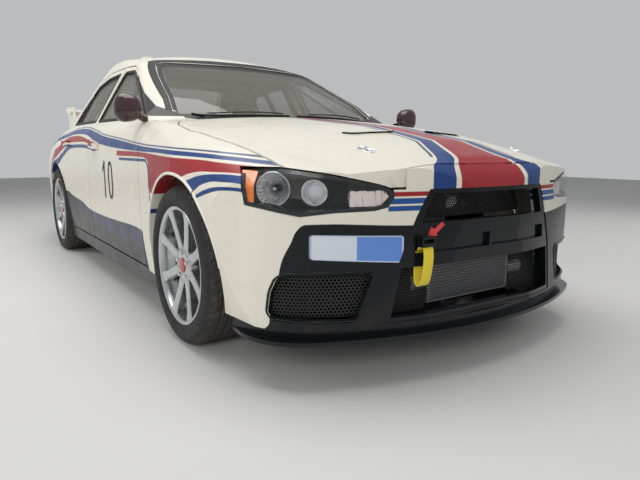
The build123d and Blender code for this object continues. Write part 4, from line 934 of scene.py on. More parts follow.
def inside(points, outline):
    # even-odd test of many points against one outline
    o = np.asarray(outline, float)
    nxt = np.roll(o, -1, 0)
    x, y = points[..., :1], points[..., 1:]
    crossAt = (nxt[:, 0] - o[:, 0]) * (y - o[:, 1]) / (nxt[:, 1] - o[:, 1] + 1e-15) + o[:, 0]
    return (((o[:, 1] > y) != (nxt[:, 1] > y)) & (x < crossAt)).sum(-1) % 2 == 1


def hexCells(outline, cell):
    # middles of a honeycomb whose cells lie inside an outline; cell is the distance between middles
    o = np.asarray(outline, float)
    low, high = o.min(0), o.max(0)
    row = cell * math.sqrt(0.75)
    i = np.arange(int((high[0] - low[0]) / cell) + 2)[:, None]
    j = np.arange(int((high[1] - low[1]) / row) + 2)[None, :]
    middles = np.stack([low[0] + (i + 0.5 * (j % 2)) * cell, low[1] + j * row + 0 * i], -1).reshape(-1, 2)
    return middles[inside(middles, outline)]


def honeycomb(pile, outline, s, place):
    # each cell is a closed hexagonal ring; place maps (u, v, depth) to space
    middles = hexCells(outline, s["cell"])
    a = np.arange(6) * np.pi / 3 + np.pi / 6
    ring = np.stack([np.cos(a), np.sin(a)], -1)
    outer, inner = s["cell"] / math.sqrt(3), s["cell"] / math.sqrt(3) - s["wall"]
    layers = []
    for radius, depth in ((outer, 0.0), (inner, 0.0), (inner, s["deep"]), (outer, s["deep"])):
        uv = middles[:, None] + ring[None] * radius
        layers.append(place(uv[..., 0], uv[..., 1], depth + 0 * uv[..., 0]))
    verts = np.stack(layers, 1)                    # cell, layer, corner
    faces = gridFaces(4, 6, True, True)
    flip = volumeOf(verts[0].reshape(-1, 3), faces) < 0
    cells = (faces[None] + (np.arange(len(middles)) * 24)[:, None, None]).reshape(-1, 4)
    pile.add(verts.reshape(-1, 3), cells, flip)


def fittedDepth(name):
    # depth of a node's outer face over the left front corner: a quadratic through its vertices
    mesh = node[name].data
    co = np.empty(len(mesh.vertices) * 3, np.float32)
    mesh.vertices.foreach_get("co", co)
    co = co.reshape(-1, 3).astype(float)
    co = co[co[:, 1] > 0]
    h, z, d = co @ cornerAlong, co[:, 2], co @ cornerOut
    for _ in range(3):
        basis = np.stack([np.ones_like(h), h, z, h * h, h * z, z * z], -1)
        fit = np.linalg.lstsq(basis, d, rcond=None)[0]
        keep = d >= basis @ fit - 0.0005
        h, z, d = h[keep], z[keep], d[keep]
    return lambda a, b: fit[0] + fit[1] * a + fit[2] * b + fit[3] * a * a + fit[4] * a * b + fit[5] * b * b


def duct(hand, side):
    s = ductSet
    depthAt = fittedDepth("duct_grilles")
    pile = Pile()
    honeycomb(pile, s["outline"], s, lambda u, v, d: cornerPoint(u, v, depthAt(u, v) - 0.002 - d))
    cells = pile.mirrored(side).make(hand + "DuctMesh", moulded, "root", "matte_black", smooth=False)
    line = closedLine(s["outline"], 150, 0.030)
    out = line + unitRows(line - line.mean(0)) * s["lip"] * 0.9
    path = cornerPoint(out[:, 0], out[:, 1], 2.2)
    pile = ribbon(Pile(), np.concatenate([path, path[:2]]), s["lip"], s["lipHeight"], "front_bumper",
                  -cornerOut, sink=0.003, corner=0.8)
    face = depthAt(line[:, 0], line[:, 1])
    tunnel = np.stack([cornerPoint(line[:, 0], line[:, 1], face + d) for d in (s["front"], -s["back"])])
    pile.sheet(np.concatenate([tunnel, tunnel[:, :1]], 1), s["tunnelWall"])
    pile.mirrored(side).make(hand + "DuctLip", glossBlack, "root", "black_trim")
    return cells


def mouthMeshes(m, c):
    pile = Pile()
    top = m["half"] - (m["high"] - m["low"]) * m["taper"]
    outline = ((-m["half"], m["low"]), (m["half"], m["low"]), (top, m["high"]), (-top, m["high"]))
    honeycomb(pile, outline, m, lambda u, v, d: np.stack([m["x"] - u ** 2 * m["bow"] - d, u, v], -1))
    for side in (-1, 1):
        outline = ((c["near"], c["low"]), (c["far"], c["low"]), (c["far"] - c["lean"], c["high"]),
                   (c["near"], c["high"]))
        honeycomb(pile, [(side * u, v) for u, v in outline], c,
                  lambda u, v, d: np.stack([c["x"] - np.abs(u) * c["sweep"] - d, u, v], -1))
    pile.make("mouthMesh", moulded, "root", "matte_black", smooth=False)


def coreMaterial(s):
    # flat tubes with folded fins between them, set by height and by side; the gaps between the fins get painted
    # shade and each tube's flat face a painted highlight
    mat, shader, (place, x, w, z, y) = material("coolerCore", Metallic=0.8)
    tube = joined("PINGPONG", z - s["low"], s["tube"])
    fold = joined("PINGPONG", y + tube * 0.6, s["fin"])
    # painted shade: near black in the gaps between the fins, lighter grey on the fins' edges
    dark = ranged(fold, s["fin"] * 0.25, s["fin"] * 0.8, 0.0, 1.0)
    # painted highlight: a bright strip along each tube's face
    paintedHighlight = ranged(tube, s["tube"] * 0.1, s["tube"] * 0.35, 1.0, 0.0)
    base = mixColour(dark, (0.045, 0.045, 0.05), (0.22, 0.22, 0.225))
    mixColour(paintedHighlight, base, (0.42, 0.42, 0.43)).into(shader, "Base Color")
    ranged(noise(place, 60), 0.3, 0.7, 0.35, 0.55).into(shader, "Roughness")
    bump(dark * 0.5 + paintedHighlight, 0.6, 0.002).into(shader, "Normal")
    return mat


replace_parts(duct("left", 1), "duct_grilles")
duct("right", -1)
mouthMeshes(mouthMesh, cornerMesh)
dress(["intercooler"], coreMaterial(coreSet))

# Tow strap with its buckle, and the arrow that marks it
strapSet = {"side": -0.318, "width": 0.045, "thick": 0.0035,
            "route": ((2.204, 0.458), (2.218, 0.478), (2.232, 0.464), (2.236, 0.43), (2.230, 0.38),
                      (2.220, 0.346), (2.206, 0.334), (2.192, 0.350), (2.190, 0.40), (2.196, 0.452)),
            "buckle": (((2.205, -0.345, 0.470), (2.238, -0.291, 0.484)),
                       ((2.205, -0.345, 0.496), (2.238, -0.291, 0.506)),
                       ((2.205, -0.347, 0.470), (2.238, -0.340, 0.506)),
                       ((2.205, -0.296, 0.470), (2.238, -0.289, 0.506)))}
arrowSet = {"from": (-0.241, 0.545), "to": (-0.307, 0.491), "across": (0, -0.63, 0.776), "shaft": 0.0085,
            "head": 0.024, "point": 0.0004, "thick": 0.001, "lift": 0.0012}
ahead = 2.5                            # in front of the whole nose, from where points are dropped
strapYellow = simpleMaterial("strapYellow", ((0.72, 0.56, 0.010), (0.86, 0.70, 0.030)), 260, (0.7, 0.9), 0.6,
                             Sheen_Weight=0.3)
signRed = simpleMaterial("signRed", ((0.66, 0.045, 0.05), (0.74, 0.06, 0.065)), 14, (0.3, 0.45))


def towStrap(s):
    loop = throughPoints(s["route"], 90)
    path = flatGrid(1, s["side"], loop[:, 0], loop[:, 1])
    section = roundedBox(s["thick"], s["width"], s["thick"] * 0.45, 4)
    band = Pile().closed(carried(path, section, up=(0, 1, 0)))
    band.make("towStrap", strapYellow, "root", "seat_fabric")
    bars = Pile()
    for low, high in s["buckle"]:
        bars.add(*boxGrid(low, high))
    softEdge(bars.make("strapBuckle", glossBlack, "root", "black_trim", smooth=False), 0.003)


def towArrow(s):
    # an even shaft over the first half, then a head that narrows to its point
    run = np.linspace(0, 1, 30)[:, None]
    line = flatGrid(0, ahead, *(a + (b - a) * run for a, b in zip(s["from"], s["to"])))
    half = np.where(run < 0.5, s["shaft"], s["head"] * (1 - run) / 0.5 + s["point"])
    flat = line + np.array(s["across"]) * (half * np.linspace(-1, 1, 7))[..., None]
    pile = Pile().sheet(laid(flat, (-1, 0, 0), "grille", s["lift"]), s["thick"], (-1, 0, 0))
    pile.make("towArrow", signRed, "root", "body_paint")


towStrap(strapSet)
towArrow(arrowSet)

# Blank plate on the right of the nose, half white and half blue, held flat to the bumper
plateSet = {"near": -0.396, "far": -0.695, "top": (0.511, 0.523), "bottom": (0.420, 0.443), "split": -0.553,
            "margin": (0.006, 0.005, 0.004), "soft": 0.0006, "corner": 0.006, "lift": 0.003, "thick": 0.0025,
            "white": (0.62, 0.66, 0.72), "blue": (0.10, 0.24, 0.62), "border": (0.50, 0.58, 0.74)}


def plateEdges(s, run):
    # heights of the lower and upper edge, read from the far end (0) to the near end (1)
    return (run * (s[key][0] - s[key][1]) + s[key][1] for key in ("bottom", "top"))


def plateMaterial(s):
    mat, shader, (place, x, w, z, y) = material("plateFace", Coat_Weight=0.6, Roughness=0.3)
    colour = mixColour(above(y, s["split"], 0.001), s["white"], s["blue"])
    low, high = plateEdges(s, (y - s["far"]) / (s["near"] - s["far"]))
    far, near, level = s["margin"]
    across = between(y, s["far"] + far, s["near"] - near, s["soft"])
    upward = between(z, low + level, high - level, s["soft"])
    mixColour(across * upward, s["border"], colour).into(shader, "Base Color")
    return mat


def nosePlate(s):
    u, v = np.linspace(0, 1, 40)[:, None], np.linspace(0, 1, 12)[None, :]
    low, high = plateEdges(s, u)
    corner = s["corner"] * (np.clip(1 - u * 40, 0, 1) + np.clip(u * 40 - 39, 0, 1))
    plate = flatGrid(0, ahead, s["far"] + (s["near"] - s["far"]) * u,
                     low + corner + (high - low - 2 * corner) * v)
    pile = Pile().sheet(laid(plate, (-1, 0, 0), "front_bumper", s["lift"]), s["thick"], (-1, 0, 0))
    pile.make("nosePlate", plateMaterial(s), "root", "body_paint")


nosePlate(plateSet)

# Bonnet pins with their clips, and the bonnet's air slots
pinSet = {"x": 2.000, "y": 0.405, "turn": 12, "length": 0.074, "width": 0.030, "plate": 0.0022, "post": 0.007,
          "wire": 0.0016, "gap": 0.0052, "slope": 0.25}
slotSet = {"x": (1.755, 1.832), "near": 0.095, "far": 0.325, "sweep": 0.12, "rise": 0.0085,
           "hoodWall": 0.0015, "floorWall": 0.001, "floorLift": 0.0016}
overBonnet = 1.3                       # above the bonnet, from where points are dropped


def bonnetPin(hand, side, p):
    turn = math.radians(p["turn"]) * side

    def turned(du, dv):
        # along and across the plate into x and y
        return du * math.cos(turn) + dv * math.sin(turn), dv * math.cos(turn) - du * math.sin(turn)

    a = np.linspace(0, 2 * np.pi, 48, endpoint=False)[:, None]
    r = np.linspace(0.03, 1, 8)[None, :]
    du = r * np.sign(np.cos(a)) * np.abs(np.cos(a)) ** 0.5 * p["length"] / 2
    dv = r * np.sign(np.sin(a)) * np.abs(np.sin(a)) ** 0.7 * p["width"] / 2
    x, y = turned(du, dv)
    pad = laid(flatGrid(2, overBonnet, p["x"] + x, side * p["y"] + y), (0, 0, -1), "bonnet")
    up = np.array([0.25, 0, 0.968])
    rings = ((-1, -0.001), (-1, p["plate"] * 0.7), (-2, p["plate"]), (0, p["plate"]))
    pile = Pile().closed(np.stack([pad[:, column] + up * lift for column, lift in rings]))
    middle = pad[:, 0].mean(0) + up * (p["plate"] + 0.003)
    post = circle(p["post"], 20)
    ends = np.stack([middle - up * 0.006, middle + up * 0.005])
    pile.closed(ends[:, None] + np.stack([post[:, 0], post[:, 1], -p["slope"] * post[:, 0]], -1)[None])
    bend = np.linspace(0, np.pi, 12)
    du = np.concatenate([np.linspace(0.030, -0.018, 24), -0.018 - 0.009 * np.sin(bend),
                         np.linspace(-0.018, 0.034, 24)])
    dv = np.concatenate([np.full(24, -p["gap"]), -p["gap"] * np.cos(bend),
                         p["gap"] + 0.002 * np.sin(np.linspace(0, 9, 24))])
    wire = middle + np.stack([*turned(du, dv), -p["slope"] * du], -1)
    pile.closed(carried(wire, circle(p["wire"], 10)))
    smoothByAngle(pile.make(hand + "BonnetPin", chrome, "bonnet", "wheel_alloy"))


def airSlot(hand, side, s):
    # a hood that rises towards its open rear edge, over a dark floor
    y = side * np.linspace(s["near"], s["far"], 40)[:, None]
    edge = np.linspace(0, 1, 9)[None, :]
    taper = 1 - ((np.abs(y) - (s["near"] + s["far"]) / 2) / ((s["far"] - s["near"]) / 2)) ** 6 * 0.7
    x = s["x"][0] + (s["x"][1] - s["x"][0]) * (0.5 + (edge - 0.5) * taper) - np.abs(y) * s["sweep"]
    skin = laid(flatGrid(2, overBonnet, x, y), (0, 0, -1), "bonnet")
    hood = skin + np.array([0, 0, 1]) * (s["rise"] * np.sin(edge * np.pi * 0.5) ** 0.8 + 0 * y)[..., None]
    Pile().sheet(hood, s["hoodWall"], (0, 0, -1)).make(hand + "AirHood", bonnetPaint, "bonnet", "body_paint")
    under = Pile().sheet(skin[:, 1:-1] + (0, 0, s["floorLift"]), s["floorWall"], (0, 0, -1))
    under.make(hand + "AirSlot", moulded, "bonnet", "matte_black")


for hand, side in handSides:
    bonnetPin(hand, side, pinSet)
    airSlot(hand, side, slotSet)

# Wipers, parked along the foot of the windscreen
wiperSet = {"routes": (((0.775, -0.560), (0.857, -0.395), (0.908, -0.215), (0.924, -0.070)),
                       ((0.924, -0.020), (0.912, 0.170), (0.876, 0.360), (0.825, 0.500))),
            "blade": ((-0.004, -0.006), (0.004, -0.006), (0.0012, 0.004), (-0.0012, 0.004)),
            "bladeLift": 0.007, "arm": (0.012, 0.006, 0.0025), "armShift": (0.010, 0, 0.016), "armBow": 0.006}


def wiper(name, route, s):
    # a blade over what lies highest below it, the body or the glass, evened out along its length
    line = throughPoints(route, 60)
    start = flatGrid(2, 1.6, line[:, 0], line[:, 1])
    hits = [np.nan_to_num(onSkin(start, (0, 0, -1), target)[:, 2]) for target in ("body_shell", "screens")]
    ground = np.maximum(*hits)
    level = np.convolve(np.pad(ground, 6, "edge"), np.ones(13) / 13, "valid")
    base = np.stack([line[:, 0], line[:, 1], np.maximum(ground, level)], -1)
    pile = Pile().closed(carried(base + (0, 0, s["bladeLift"]), s["blade"]))
    arm = base[8:54] + s["armShift"]
    arm[:, 2] += s["armBow"] * np.sin(np.linspace(0, np.pi, len(arm)))
    pile.closed(carried(arm, roundedBox(*s["arm"], 3)))
    pile.make(name, moulded, "root", "matte_black")


for number, route in enumerate(wiperSet["routes"]):
    wiper(f"wiper{number + 1}", route, wiperSet)
print("nose, bonnet and wiper details made")

# Door mirrors: a rounded shell, fuller towards the front, with a flat glass behind
mirrorSet = {"middle": (0.800, 0.886, 0.984), "half": (0.052, 0.064, 0.066), "power": 0.80, "cut": -0.62,
             "stalk": ((0.792, 0.800, 0.935), (0.800, 0.850, 0.952)), "stalkSize": (1.25, 0.85),
             "stalkRadius": 0.030, "glassPower": 0.72, "glassShare": 0.84, "glassWall": 0.0012}
mirrorPaint = simpleMaterial("mirrorShell", ((0.030, 0.010, 0.013), (0.046, 0.014, 0.018)), 8, (0.10, 0.2),
                             Coat_Weight=0.5, Coat_Roughness=0.05)


def signedPower(a, power):
    return np.sign(a) * np.abs(a) ** power


def mirrorShell(s, side):
    # a superellipsoid cut flat behind: x grows from the flat back to the domed front
    u = np.linspace(-np.pi / 2, np.pi / 2, 40)[:, None]
    v = around(64)[None, :]
    c, h = s["middle"], s["half"]
    x = np.maximum(signedPower(np.sin(u), s["power"]), s["cut"]) + 0 * v
    r = signedPower(np.cos(u), s["power"])
    y = r * signedPower(np.cos(v), s["power"])
    z = r * signedPower(np.sin(v), s["power"]) * (1 + 0.10 * y)
    return np.stack([c[0] + h[0] * x, side * (c[1] + h[1] * y), c[2] + h[2] * z], -1)


def doorMirror(hand, side, s):
    door = f"door_front_{hand}"
    foot = np.array(s["stalk"]) * (1, side, 1)
    oval = circle(s["stalkRadius"], 28, 0.6) * np.linspace(*s["stalkSize"], 10)[:, None, None]
    stalk = np.linspace(foot[0], foot[1], 10)[:, None] + flatGrid(1, 0.0, oval[..., 0], oval[..., 1])
    pile = Pile().closed(mirrorShell(s, side)).closed(stalk)
    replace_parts(pile.make(hand + "MirrorShell", mirrorPaint, door, "black_trim"), f"mirror_{hand}")
    c, h, a = s["middle"], s["half"], around(48)
    across, upward = (s["glassShare"] * signedPower(f(a), s["glassPower"]) for f in (np.cos, np.sin))
    rim = flatGrid(0, c[0] + s["cut"] * h[0] - 0.0008, side * (c[1] + h[1] * across), c[2] + h[2] * upward)
    glass = Pile().closed(np.stack([rim, rim - (s["glassWall"], 0, 0)]))
    glass.make(hand + "MirrorGlass", mirrorMetal, door, "glass")


for hand, side in handSides:
    doorMirror(hand, side, mirrorSet)
print("mirrors made")

# Glass edges: rubber round the side windows and the windscreen
sealSet = {"inside": 0.003, "outside": 0.016, "height": 0.0025, "sink": 0.009, "back": 0.004,
           "front": ((0.668, 0.958), (0.088, 1.226), (0.020, 1.250), (-0.126, 1.256), (-0.132, 0.966)),
           "rear": ((-0.228, 0.968), (-0.234, 1.256), (-0.500, 1.252), (-0.795, 1.222), (-0.858, 1.172),
                    (-0.858, 0.974)),
           "quarter": ((-0.888, 0.975), (-0.888, 1.148), (-1.012, 1.050), (-1.024, 0.978))}
screenSet = {"outline": ((0.6385, 0.985), (0.607, 1.105), (0.572, 1.207), (0.534, 1.280), (0.500, 1.300),
                         (0.440, 1.308), (0.20, 1.3125), (0.0, 1.314)), "gap": 0.0015, "seal": 0.030,
             "frit": 0.026}
beside = 1.2                           # outside both doors, from where points are dropped
sealRubber = simpleMaterial("sealRubber", ((0.010, 0.010, 0.011), (0.018, 0.018, 0.019)), 40, (0.45, 0.65),
                            0.15)


def windowSeal(pile, outline, door, side, s):
    # the outline moved outwards and dropped on the door, ring by ring, then down to the glass and back
    line = closedLine(outline, 260, 0.020)
    out = outwardOf(line)
    moved = np.array([s["outside"], s["outside"] * 0.8, s["outside"] * 0.3, 0.0005])
    flat = line[:, None] + out[:, None] * moved[None, :, None]
    rings = laid(flatGrid(1, side * beside, flat[..., 0], flat[..., 1]), (0, -side, 0), door)
    rings[..., 1] += side * np.array([0, s["height"], s["height"], s["height"] * 0.6])
    inner = line - out * s["inside"]
    inner = np.stack([inner[:, 0], rings[:, 3, 1] - side * s["sink"] * 0.4, inner[:, 1]], -1)
    deep = inner - (0, side * s["sink"], 0)
    back = rings[:, 0] - (0, side * s["back"], 0)
    pile.closed(np.concatenate([rings, inner[:, None], deep[:, None], back[:, None]], axis=1), ring=True)


def screenBand(name, low, high, target, height):
    # a band beside the windscreen's outline, seen from the front, dropped backwards on a node
    half = throughPoints(screenSet["outline"], 110)
    line = np.concatenate([half, (half * (-1, 1))[::-1][1:]])
    flat = line[:, None] + outwardOf(line, closed=False)[:, None] * np.linspace(low, high, 7)[None, :, None]
    over = np.array([0.55, 0, 0.83])
    hump = height * np.array([0.3, 1, 1, 1, 1, 1, 0.3])
    top = laid(flatGrid(0, 1.7, flat[..., 0], flat[..., 1]), (-1, 0, 0), target) + over * hump[None, :, None]
    under = top[:, ::-1] - over * (height + 0.001)
    Pile().closed(np.concatenate([top, under], axis=1)).make(name, sealRubber, "root", "matte_black")


for hand, side in handSides:
    for end, openings in (("front", ("front",)), ("rear", ("rear", "quarter"))):
        pile = Pile()
        for key in openings:
            windowSeal(pile, sealSet[key], f"door_{end}_{hand}", side, sealSet)
        pile.make(f"{hand}{end.title()}Seal", sealRubber, f"door_{end}_{hand}", "matte_black")
screenBand("screenSeal", screenSet["gap"], screenSet["seal"], "body_shell", 0.0020)
screenBand("screenFrit", -screenSet["frit"], -screenSet["gap"], "screens", 0.0008)
print("glass edges made")

# Number on each front door, in plain strokes
numberSet = {"place": (0.295, 0.622), "half": 0.104, "width": 0.052, "stroke": 0.027, "nought": 0.061,
             "one": -0.066, "flag": (0.042, 0.040, 0.030), "thick": 0.0010, "sink": 0.0004}
numberPaint = simpleMaterial("numberBlack", ((0.020, 0.014, 0.022), (0.030, 0.020, 0.030)), 10, (0.3, 0.45))


def digitGrids(s):
    # the nought is a ring between two ovals; the one is a bar with a short flag
    a = np.linspace(0, 2 * np.pi, 97)[:, None]
    t = np.linspace(0, 1, 5)[None, :]
    wide, tall = s["width"] - s["stroke"] * t, s["half"] - s["stroke"] * 0.75 * t
    nought = s["nought"] + wide * signedPower(np.cos(a), 0.8), tall * signedPower(np.sin(a), 0.8)
    u = np.linspace(-1, 1, 30)[:, None]
    v = np.linspace(-0.5, 0.5, 6)[None, :]
    bar = s["one"] + s["stroke"] * v, s["half"] * u
    run = np.linspace(0, 1, 12)[:, None]
    reach, fall, deep = s["flag"]
    flag = s["one"] - run * reach, s["half"] * 0.88 - run * fall + deep * v
    return nought, bar, flag


def doorNumber(hand, side, s):
    pile = Pile()
    for across, upward in digitGrids(s):
        drop = flatGrid(1, side * beside, s["place"][0] - side * across, s["place"][1] + upward)
        pile.sheet(laid(drop, (0, -side, 0), f"door_front_{hand}", -s["sink"]), s["thick"], (0, side, 0))
    pile.make(hand + "Number", numberPaint, f"door_front_{hand}", "black_trim")


for hand, side in handSides:
    doorNumber(hand, side, numberSet)

# Front arches: a rolled lip round the wheel opening
lipSet = {"radius": 0.3725, "width": 0.013, "height": 0.0045, "from": 8, "to": 172, "outerY": 0.80,
          "fewest": 20}
lipPaint = simpleMaterial("lipPaint", ((0.78, 0.755, 0.67), (0.81, 0.785, 0.70)), 5, (0.25, 0.4),
                          Coat_Weight=0.3)


def archLip(hand, side, s, target):
    a = np.radians(np.linspace(s["from"], s["to"], 150))
    x, z = wheelSet["frontX"] + s["radius"] * np.cos(a), wheelSet["height"] + s["radius"] * np.sin(a)
    hit = onSkin(flatGrid(1, side * beside, x, z), (0, -side, 0), target)
    good = ~np.isnan(hit[:, 0]) & (np.abs(hit[:, 1]) > s["outerY"])
    if good.sum() > s["fewest"]:
        pile = ribbon(Pile(), hit[good], s["width"], s["height"], target, (0, -side, 0))
        pile.make(f"{hand}Lip{target.split('_')[1].title()}", lipPaint, "root", "body_paint")


for hand, side in handSides:
    for target in ("front_wings", "front_bumper"):
        archLip(hand, side, lipSet, target)
print("numbers and arch lips made")

# Seats: padded cushions in the shells, and harness belts
padSet = {"seatY": 0.385, "seams": 5, "thick": 0.85,
          "base": {"middle": (0.018, 0.290), "half": (0.196, 0.168, 0.030), "tilt": 5.5},
          "back": {"middle": (-0.247, 0.560), "half": (0.285, 0.165, 0.026), "tilt": 108.0}}
beltSet = {"width": 0.046, "thick": 0.0028, "corner": 0.001,
           "shoulder": ((-0.372, 0.075, 0.800), (-0.318, 0.075, 0.815), (-0.268, 0.072, 0.745),
                        (-0.205, 0.060, 0.590), (-0.140, 0.040, 0.420), (-0.085, 0.012, 0.352)),
           "lap": ((-0.130, 0.172, 0.300), (-0.110, 0.150, 0.335), (-0.090, 0.080, 0.345),
                   (-0.080, 0.010, 0.346)),
           "clasp": (-0.078, 0.354), "slope": 0.25,
           "claspRings": ((0.001, 0.012), (0.030, 0.012), (0.033, 0.009), (0.033, -0.004), (0.030, -0.006),
                          (0.001, -0.006))}
beltCloth = simpleMaterial("beltWebbing", ((0.30, 0.012, 0.014), (0.40, 0.020, 0.020)), 60, (0.7, 0.85), 0.4,
                           Sheen_Weight=0.3)
buckleMetal = simpleMaterial("buckleSteel", ((0.30, 0.30, 0.31), (0.42, 0.42, 0.43)), 25, (0.25, 0.4), 0.05,
                             Metallic=0.9)


def padShape(s, seatY, seams):
    # a flattened superellipsoid whose upper side is drawn in along a few seams across it
    u = np.linspace(-np.pi / 2, np.pi / 2, 72)[:, None]
    v = np.linspace(0, 2 * np.pi, 144, endpoint=False)[None, :]
    a, b, c = s["half"]
    x = a * signedPower(np.cos(u), 0.35) * signedPower(np.cos(v), 0.45)
    y = b * signedPower(np.cos(u), 0.35) * signedPower(np.sin(v), 0.45)
    z = c * signedPower(np.sin(u), 0.6) + 0 * v
    furrow = np.exp(-(np.abs(np.sin(np.pi * seams * (x / a + 1) / 2)) / 0.10) ** 2)
    draw = 0.10 * furrow * (np.abs(y) < b * 0.75)
    z = z * (1 - draw * 2.0) - 0.010 * (1 - (y / b) ** 2) * (z > 0) * 0.6
    t = math.radians(s["tilt"])
    along = np.array([math.cos(t), 0, math.sin(t)])
    up = np.array([-math.sin(t), 0, math.cos(t)])
    if up[0] < 0 and s["tilt"] > 45:
        up = -up
    middle = np.array([s["middle"][0], seatY, s["middle"][1]])
    return middle + x[..., None] * along + y[..., None] * np.array([0, 1, 0]) + z[..., None] * up


def seatPads(s):
    pile = Pile()
    for side in (1, -1):
        for key in ("base", "back"):
            pile.closed(padShape(s[key], side * s["seatY"], s["seams"]))
    pads = pile.make("seatPads", cloth, "root", "seat_fabric")
    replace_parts(pads, "seat_cushions")


def harness(s):
    # shoulder and lap belts on both sides of each seat's middle, and a round clasp where they meet
    belts, clasps = Pile(), Pile()
    section = roundedBox(s["width"], s["thick"], s["corner"], 3)
    radius, height = (np.array(s["claspRings"])[:, k][:, None] for k in (0, 1))
    a = around(32)
    for seatY in (padSet["seatY"], -padSet["seatY"]):
        for way in (1, -1):
            for key, count, up in (("shoulder", 60, (1, 0, 0.4)), ("lap", 40, (0.3, 0, 1))):
                route = np.array(s[key]) * (1, way, 1) + (0, seatY, 0)
                belts.closed(carried(throughPoints(route, count), section, up=up))
        x, z = s["clasp"]
        rings = x + radius * np.cos(a), seatY + radius * np.sin(a), z + height + s["slope"] * radius * np.cos(a)
        clasps.closed(np.stack(rings, -1))
    belts.make("harnessBelts", beltCloth, "root", "seat_fabric")
    clasps.make("harnessBuckles", buckleMetal, "root", "engine_metal")


seatPads(padSet)
harness(beltSet)
print("cabin dressed")

# Lamp fronts: one lens and one case to the lamp's whole outline, and the bonnet's lip cut back to clear them
lampFront = {"outline": ((0.714, 0.734), (0.812, 0.731), (0.892, 0.728), (0.960, 0.721), (1.028, 0.713),
                         (1.079, 0.704), (1.133, 0.692), (1.187, 0.679), (1.216, 0.670), (1.238, 0.657),
                         (1.242, 0.636), (1.223, 0.606), (1.181, 0.595), (1.060, 0.591), (0.953, 0.580),
                         (0.905, 0.588), (0.826, 0.601), (0.754, 0.610), (0.737, 0.690)),
             "glass": 0.0025, "under": 0.0006, "clear": 0.004, "cut": (1.72, 2.10),
             "caseRings": ((0.016, 0.058), (0.014, 0.012), (0.012, 0.0045), (0.001, 0.0040), (0.001, 0.010),
                           (0.006, 0.0605))}
skinSet = {"along": (0.722, 1.235), "height": (0.602, 0.722), "middle": (1, 0.65), "least": 1.7,
           "miss": 0.004, "faces": ("headlamp_lenses", "front_bumper", "bonnet")}


def skinBasis(a, b):
    # powers of along and height, up to the fourth degree together
    a, b = a - skinSet["middle"][0], b - skinSet["middle"][1]
    return np.stack([a ** i * b ** j for i in range(5) for j in range(4) if i + j < 5], -1)


def lampSkin(s):
    # the body's outer face over the left lamp: a surface fitted to the outermost of three nodes
    grid = np.meshgrid(np.linspace(*s["along"], 46), np.linspace(*s["height"], 16), indexing="ij")
    h, z = (g.ravel() for g in grid)
    start = cornerPoint(h, z, innerSet["start"])
    hits = np.stack([onSkin(start, -cornerOut, face) @ cornerOut for face in s["faces"]])
    d = np.nanmax(np.where(np.isnan(hits), -1.0, hits), axis=0)
    keep = d > s["least"]
    for _ in range(3):
        fit = np.linalg.lstsq(skinBasis(h[keep], z[keep]), d[keep], rcond=None)[0]
        miss = np.abs(d - skinBasis(h, z) @ fit)
        keep = keep & (miss < s["miss"])
    print("lamp skin", keep.sum(), "points, largest miss", round(float(miss[keep].max()), 4))
    return lambda a, b: skinBasis(a, b) @ fit


lampFace = lampSkin(skinSet)


def lampRing(outline, inset, deep):
    # the outline drawn in by an inset, at a depth under the skin
    line = closedLine(outline, 220, 0.012)
    line = line - outwardOf(line) * inset
    return cornerPoint(line[:, 0], line[:, 1], lampFace(line[:, 0], line[:, 1]) - deep)


def lampPiles(s, side):
    # the lens, the case behind its rim, and a prism to cut the bonnet with
    along, height = columnsOf(s["outline"], 60, 20)
    front = cornerPoint(along, height, lampFace(along, height) - s["under"])
    lens = Pile().sheet(front, s["glass"], -cornerOut)
    case = Pile().closed(np.stack([lampRing(s["outline"], inset, deep) for inset, deep in s["caseRings"]]))
    grown = closedLine(s["outline"], 220, 0.004)
    grown = grown + outwardOf(grown) * s["clear"]
    prism = Pile().closed(np.stack([cornerPoint(grown[:, 0], grown[:, 1], d) for d in s["cut"]]))
    return [pile.mirrored(side) for pile in (lens, case, prism)]


def trimmedCopy(source, tool, name, mat, body):
    # a copy of a CAD node with its loose triangles joined and a closed shape cut away
    mesh = node[source].data.copy()
    shape = bmesh.new()
    shape.from_mesh(mesh)
    bmesh.ops.remove_doubles(shape, verts=shape.verts, dist=0.00002)
    shape.to_mesh(mesh)
    shape.free()
    piece = bpy.data.objects.new(name, mesh)
    scene.collection.objects.link(piece)
    cut = piece.modifiers.new("cut", "BOOLEAN")
    cut.operation, cut.solver, cut.object = "DIFFERENCE", "EXACT", tool
    done = bpy.data.meshes.new_from_object(piece.evaluated_get(bpy.context.evaluated_depsgraph_get()))
    piece.modifiers.clear()
    piece.data = done
    done.materials.clear()
    done.materials.append(mat)
    done.polygons.foreach_set("use_smooth", np.ones(len(done.polygons), bool))
    smoothByAngle(piece, 24)
    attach(piece, body)
    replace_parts(piece, source)


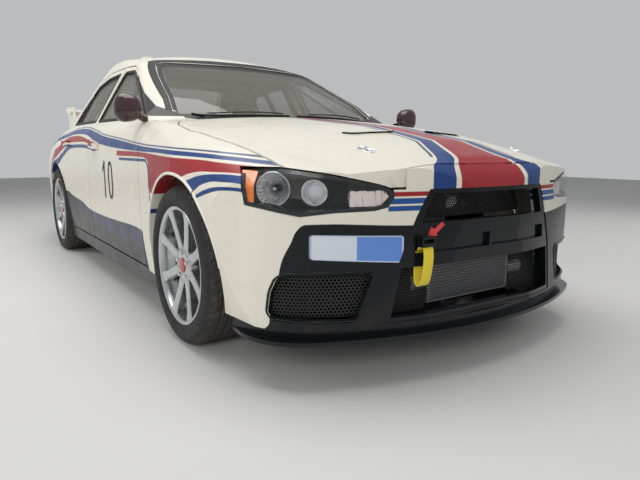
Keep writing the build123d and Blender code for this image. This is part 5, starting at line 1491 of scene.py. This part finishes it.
lenses, cases, cutter = Pile(), Pile(), Pile()
for side in (1, -1):
    for whole, one in zip((lenses, cases, cutter), lampPiles(lampFront, side)):
        whole.add(one.verts[0], one.faces[0])
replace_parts(lenses.make("lampLenses", lampGlass, "root", "lamp_glass"), "headlamp_lenses")
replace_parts(smoothByAngle(cases.make("lampCases", glossBlack, "root", "black_trim"), 30), "headlamp_housings")
tool = cutter.make("lampCutter", glossBlack, "root", "black_trim", smooth=False)
trimmedCopy("bonnet", tool, "bonnetPanel", bonnetPaint, "bonnet")
bpy.data.objects.remove(tool)
print("lamp fronts made")

# Tail lamps: two round lights in each, a clear one inboard, under thin rims
tailSet = {"centres": ((0.692, 0.768), (0.606, 0.768)), "radius": 0.034, "rim": 0.003, "width": 0.008,
           "height": 0.0022, "lift": 0.0008, "thick": 0.0014}
behind = -2.6                          # behind the whole car, from where points are dropped
clearRed = simpleMaterial("tailGlow", ((0.50, 0.015, 0.012), (0.62, 0.030, 0.022)), 80, (0.10, 0.20), 0.25,
                          Coat_Weight=0.6)


def tailCircle(centre, side, radius, count):
    a = np.linspace(0, 2 * np.pi, count)
    return flatGrid(0, behind, side * centre[0] + radius * np.cos(a), centre[1] + radius * np.sin(a))


def tailLamp(hand, side, s):
    rims = Pile()
    for number, (centre, glass) in enumerate(zip(s["centres"], (clearRed, clearLens))):
        ribbon(rims, tailCircle(centre, side, s["radius"], 97), s["width"], s["height"], "tail_lamps",
               (1, 0, 0))
        radii = np.linspace(0.02, 1, 10)[:, None] * (s["radius"] - s["rim"])
        disc = laid(tailCircle(centre, side, radii, 73), (1, 0, 0), "tail_lamps", s["lift"])
        light = Pile().sheet(disc, s["thick"], (1, 0, 0))
        light.make(f"{hand}TailLight{number + 1}", glass, "root", "tail_lens")
    rims.make(hand + "TailRims", mirrorMetal, "root", "lamp_body")


for hand, side in handSides:
    tailLamp(hand, side, tailSet)
print("tail lamps made")

# Floor
floorSize = 14.0
floorMesh = bpy.data.meshes.new("floor")
corners = ((-1, -1), (1, -1), (1, 1), (-1, 1))
floorMesh.from_pydata([(x * floorSize, y * floorSize, 0) for x, y in corners], [], [(0, 1, 2, 3)])
floor = bpy.data.objects.new("floor", floorMesh)
scene.collection.objects.link(floor)
floorMesh.materials.append(simpleMaterial("paleFloor", ((0.60, 0.595, 0.585), (0.64, 0.635, 0.625)), 0.8,
                                          (0.6, 0.8)))
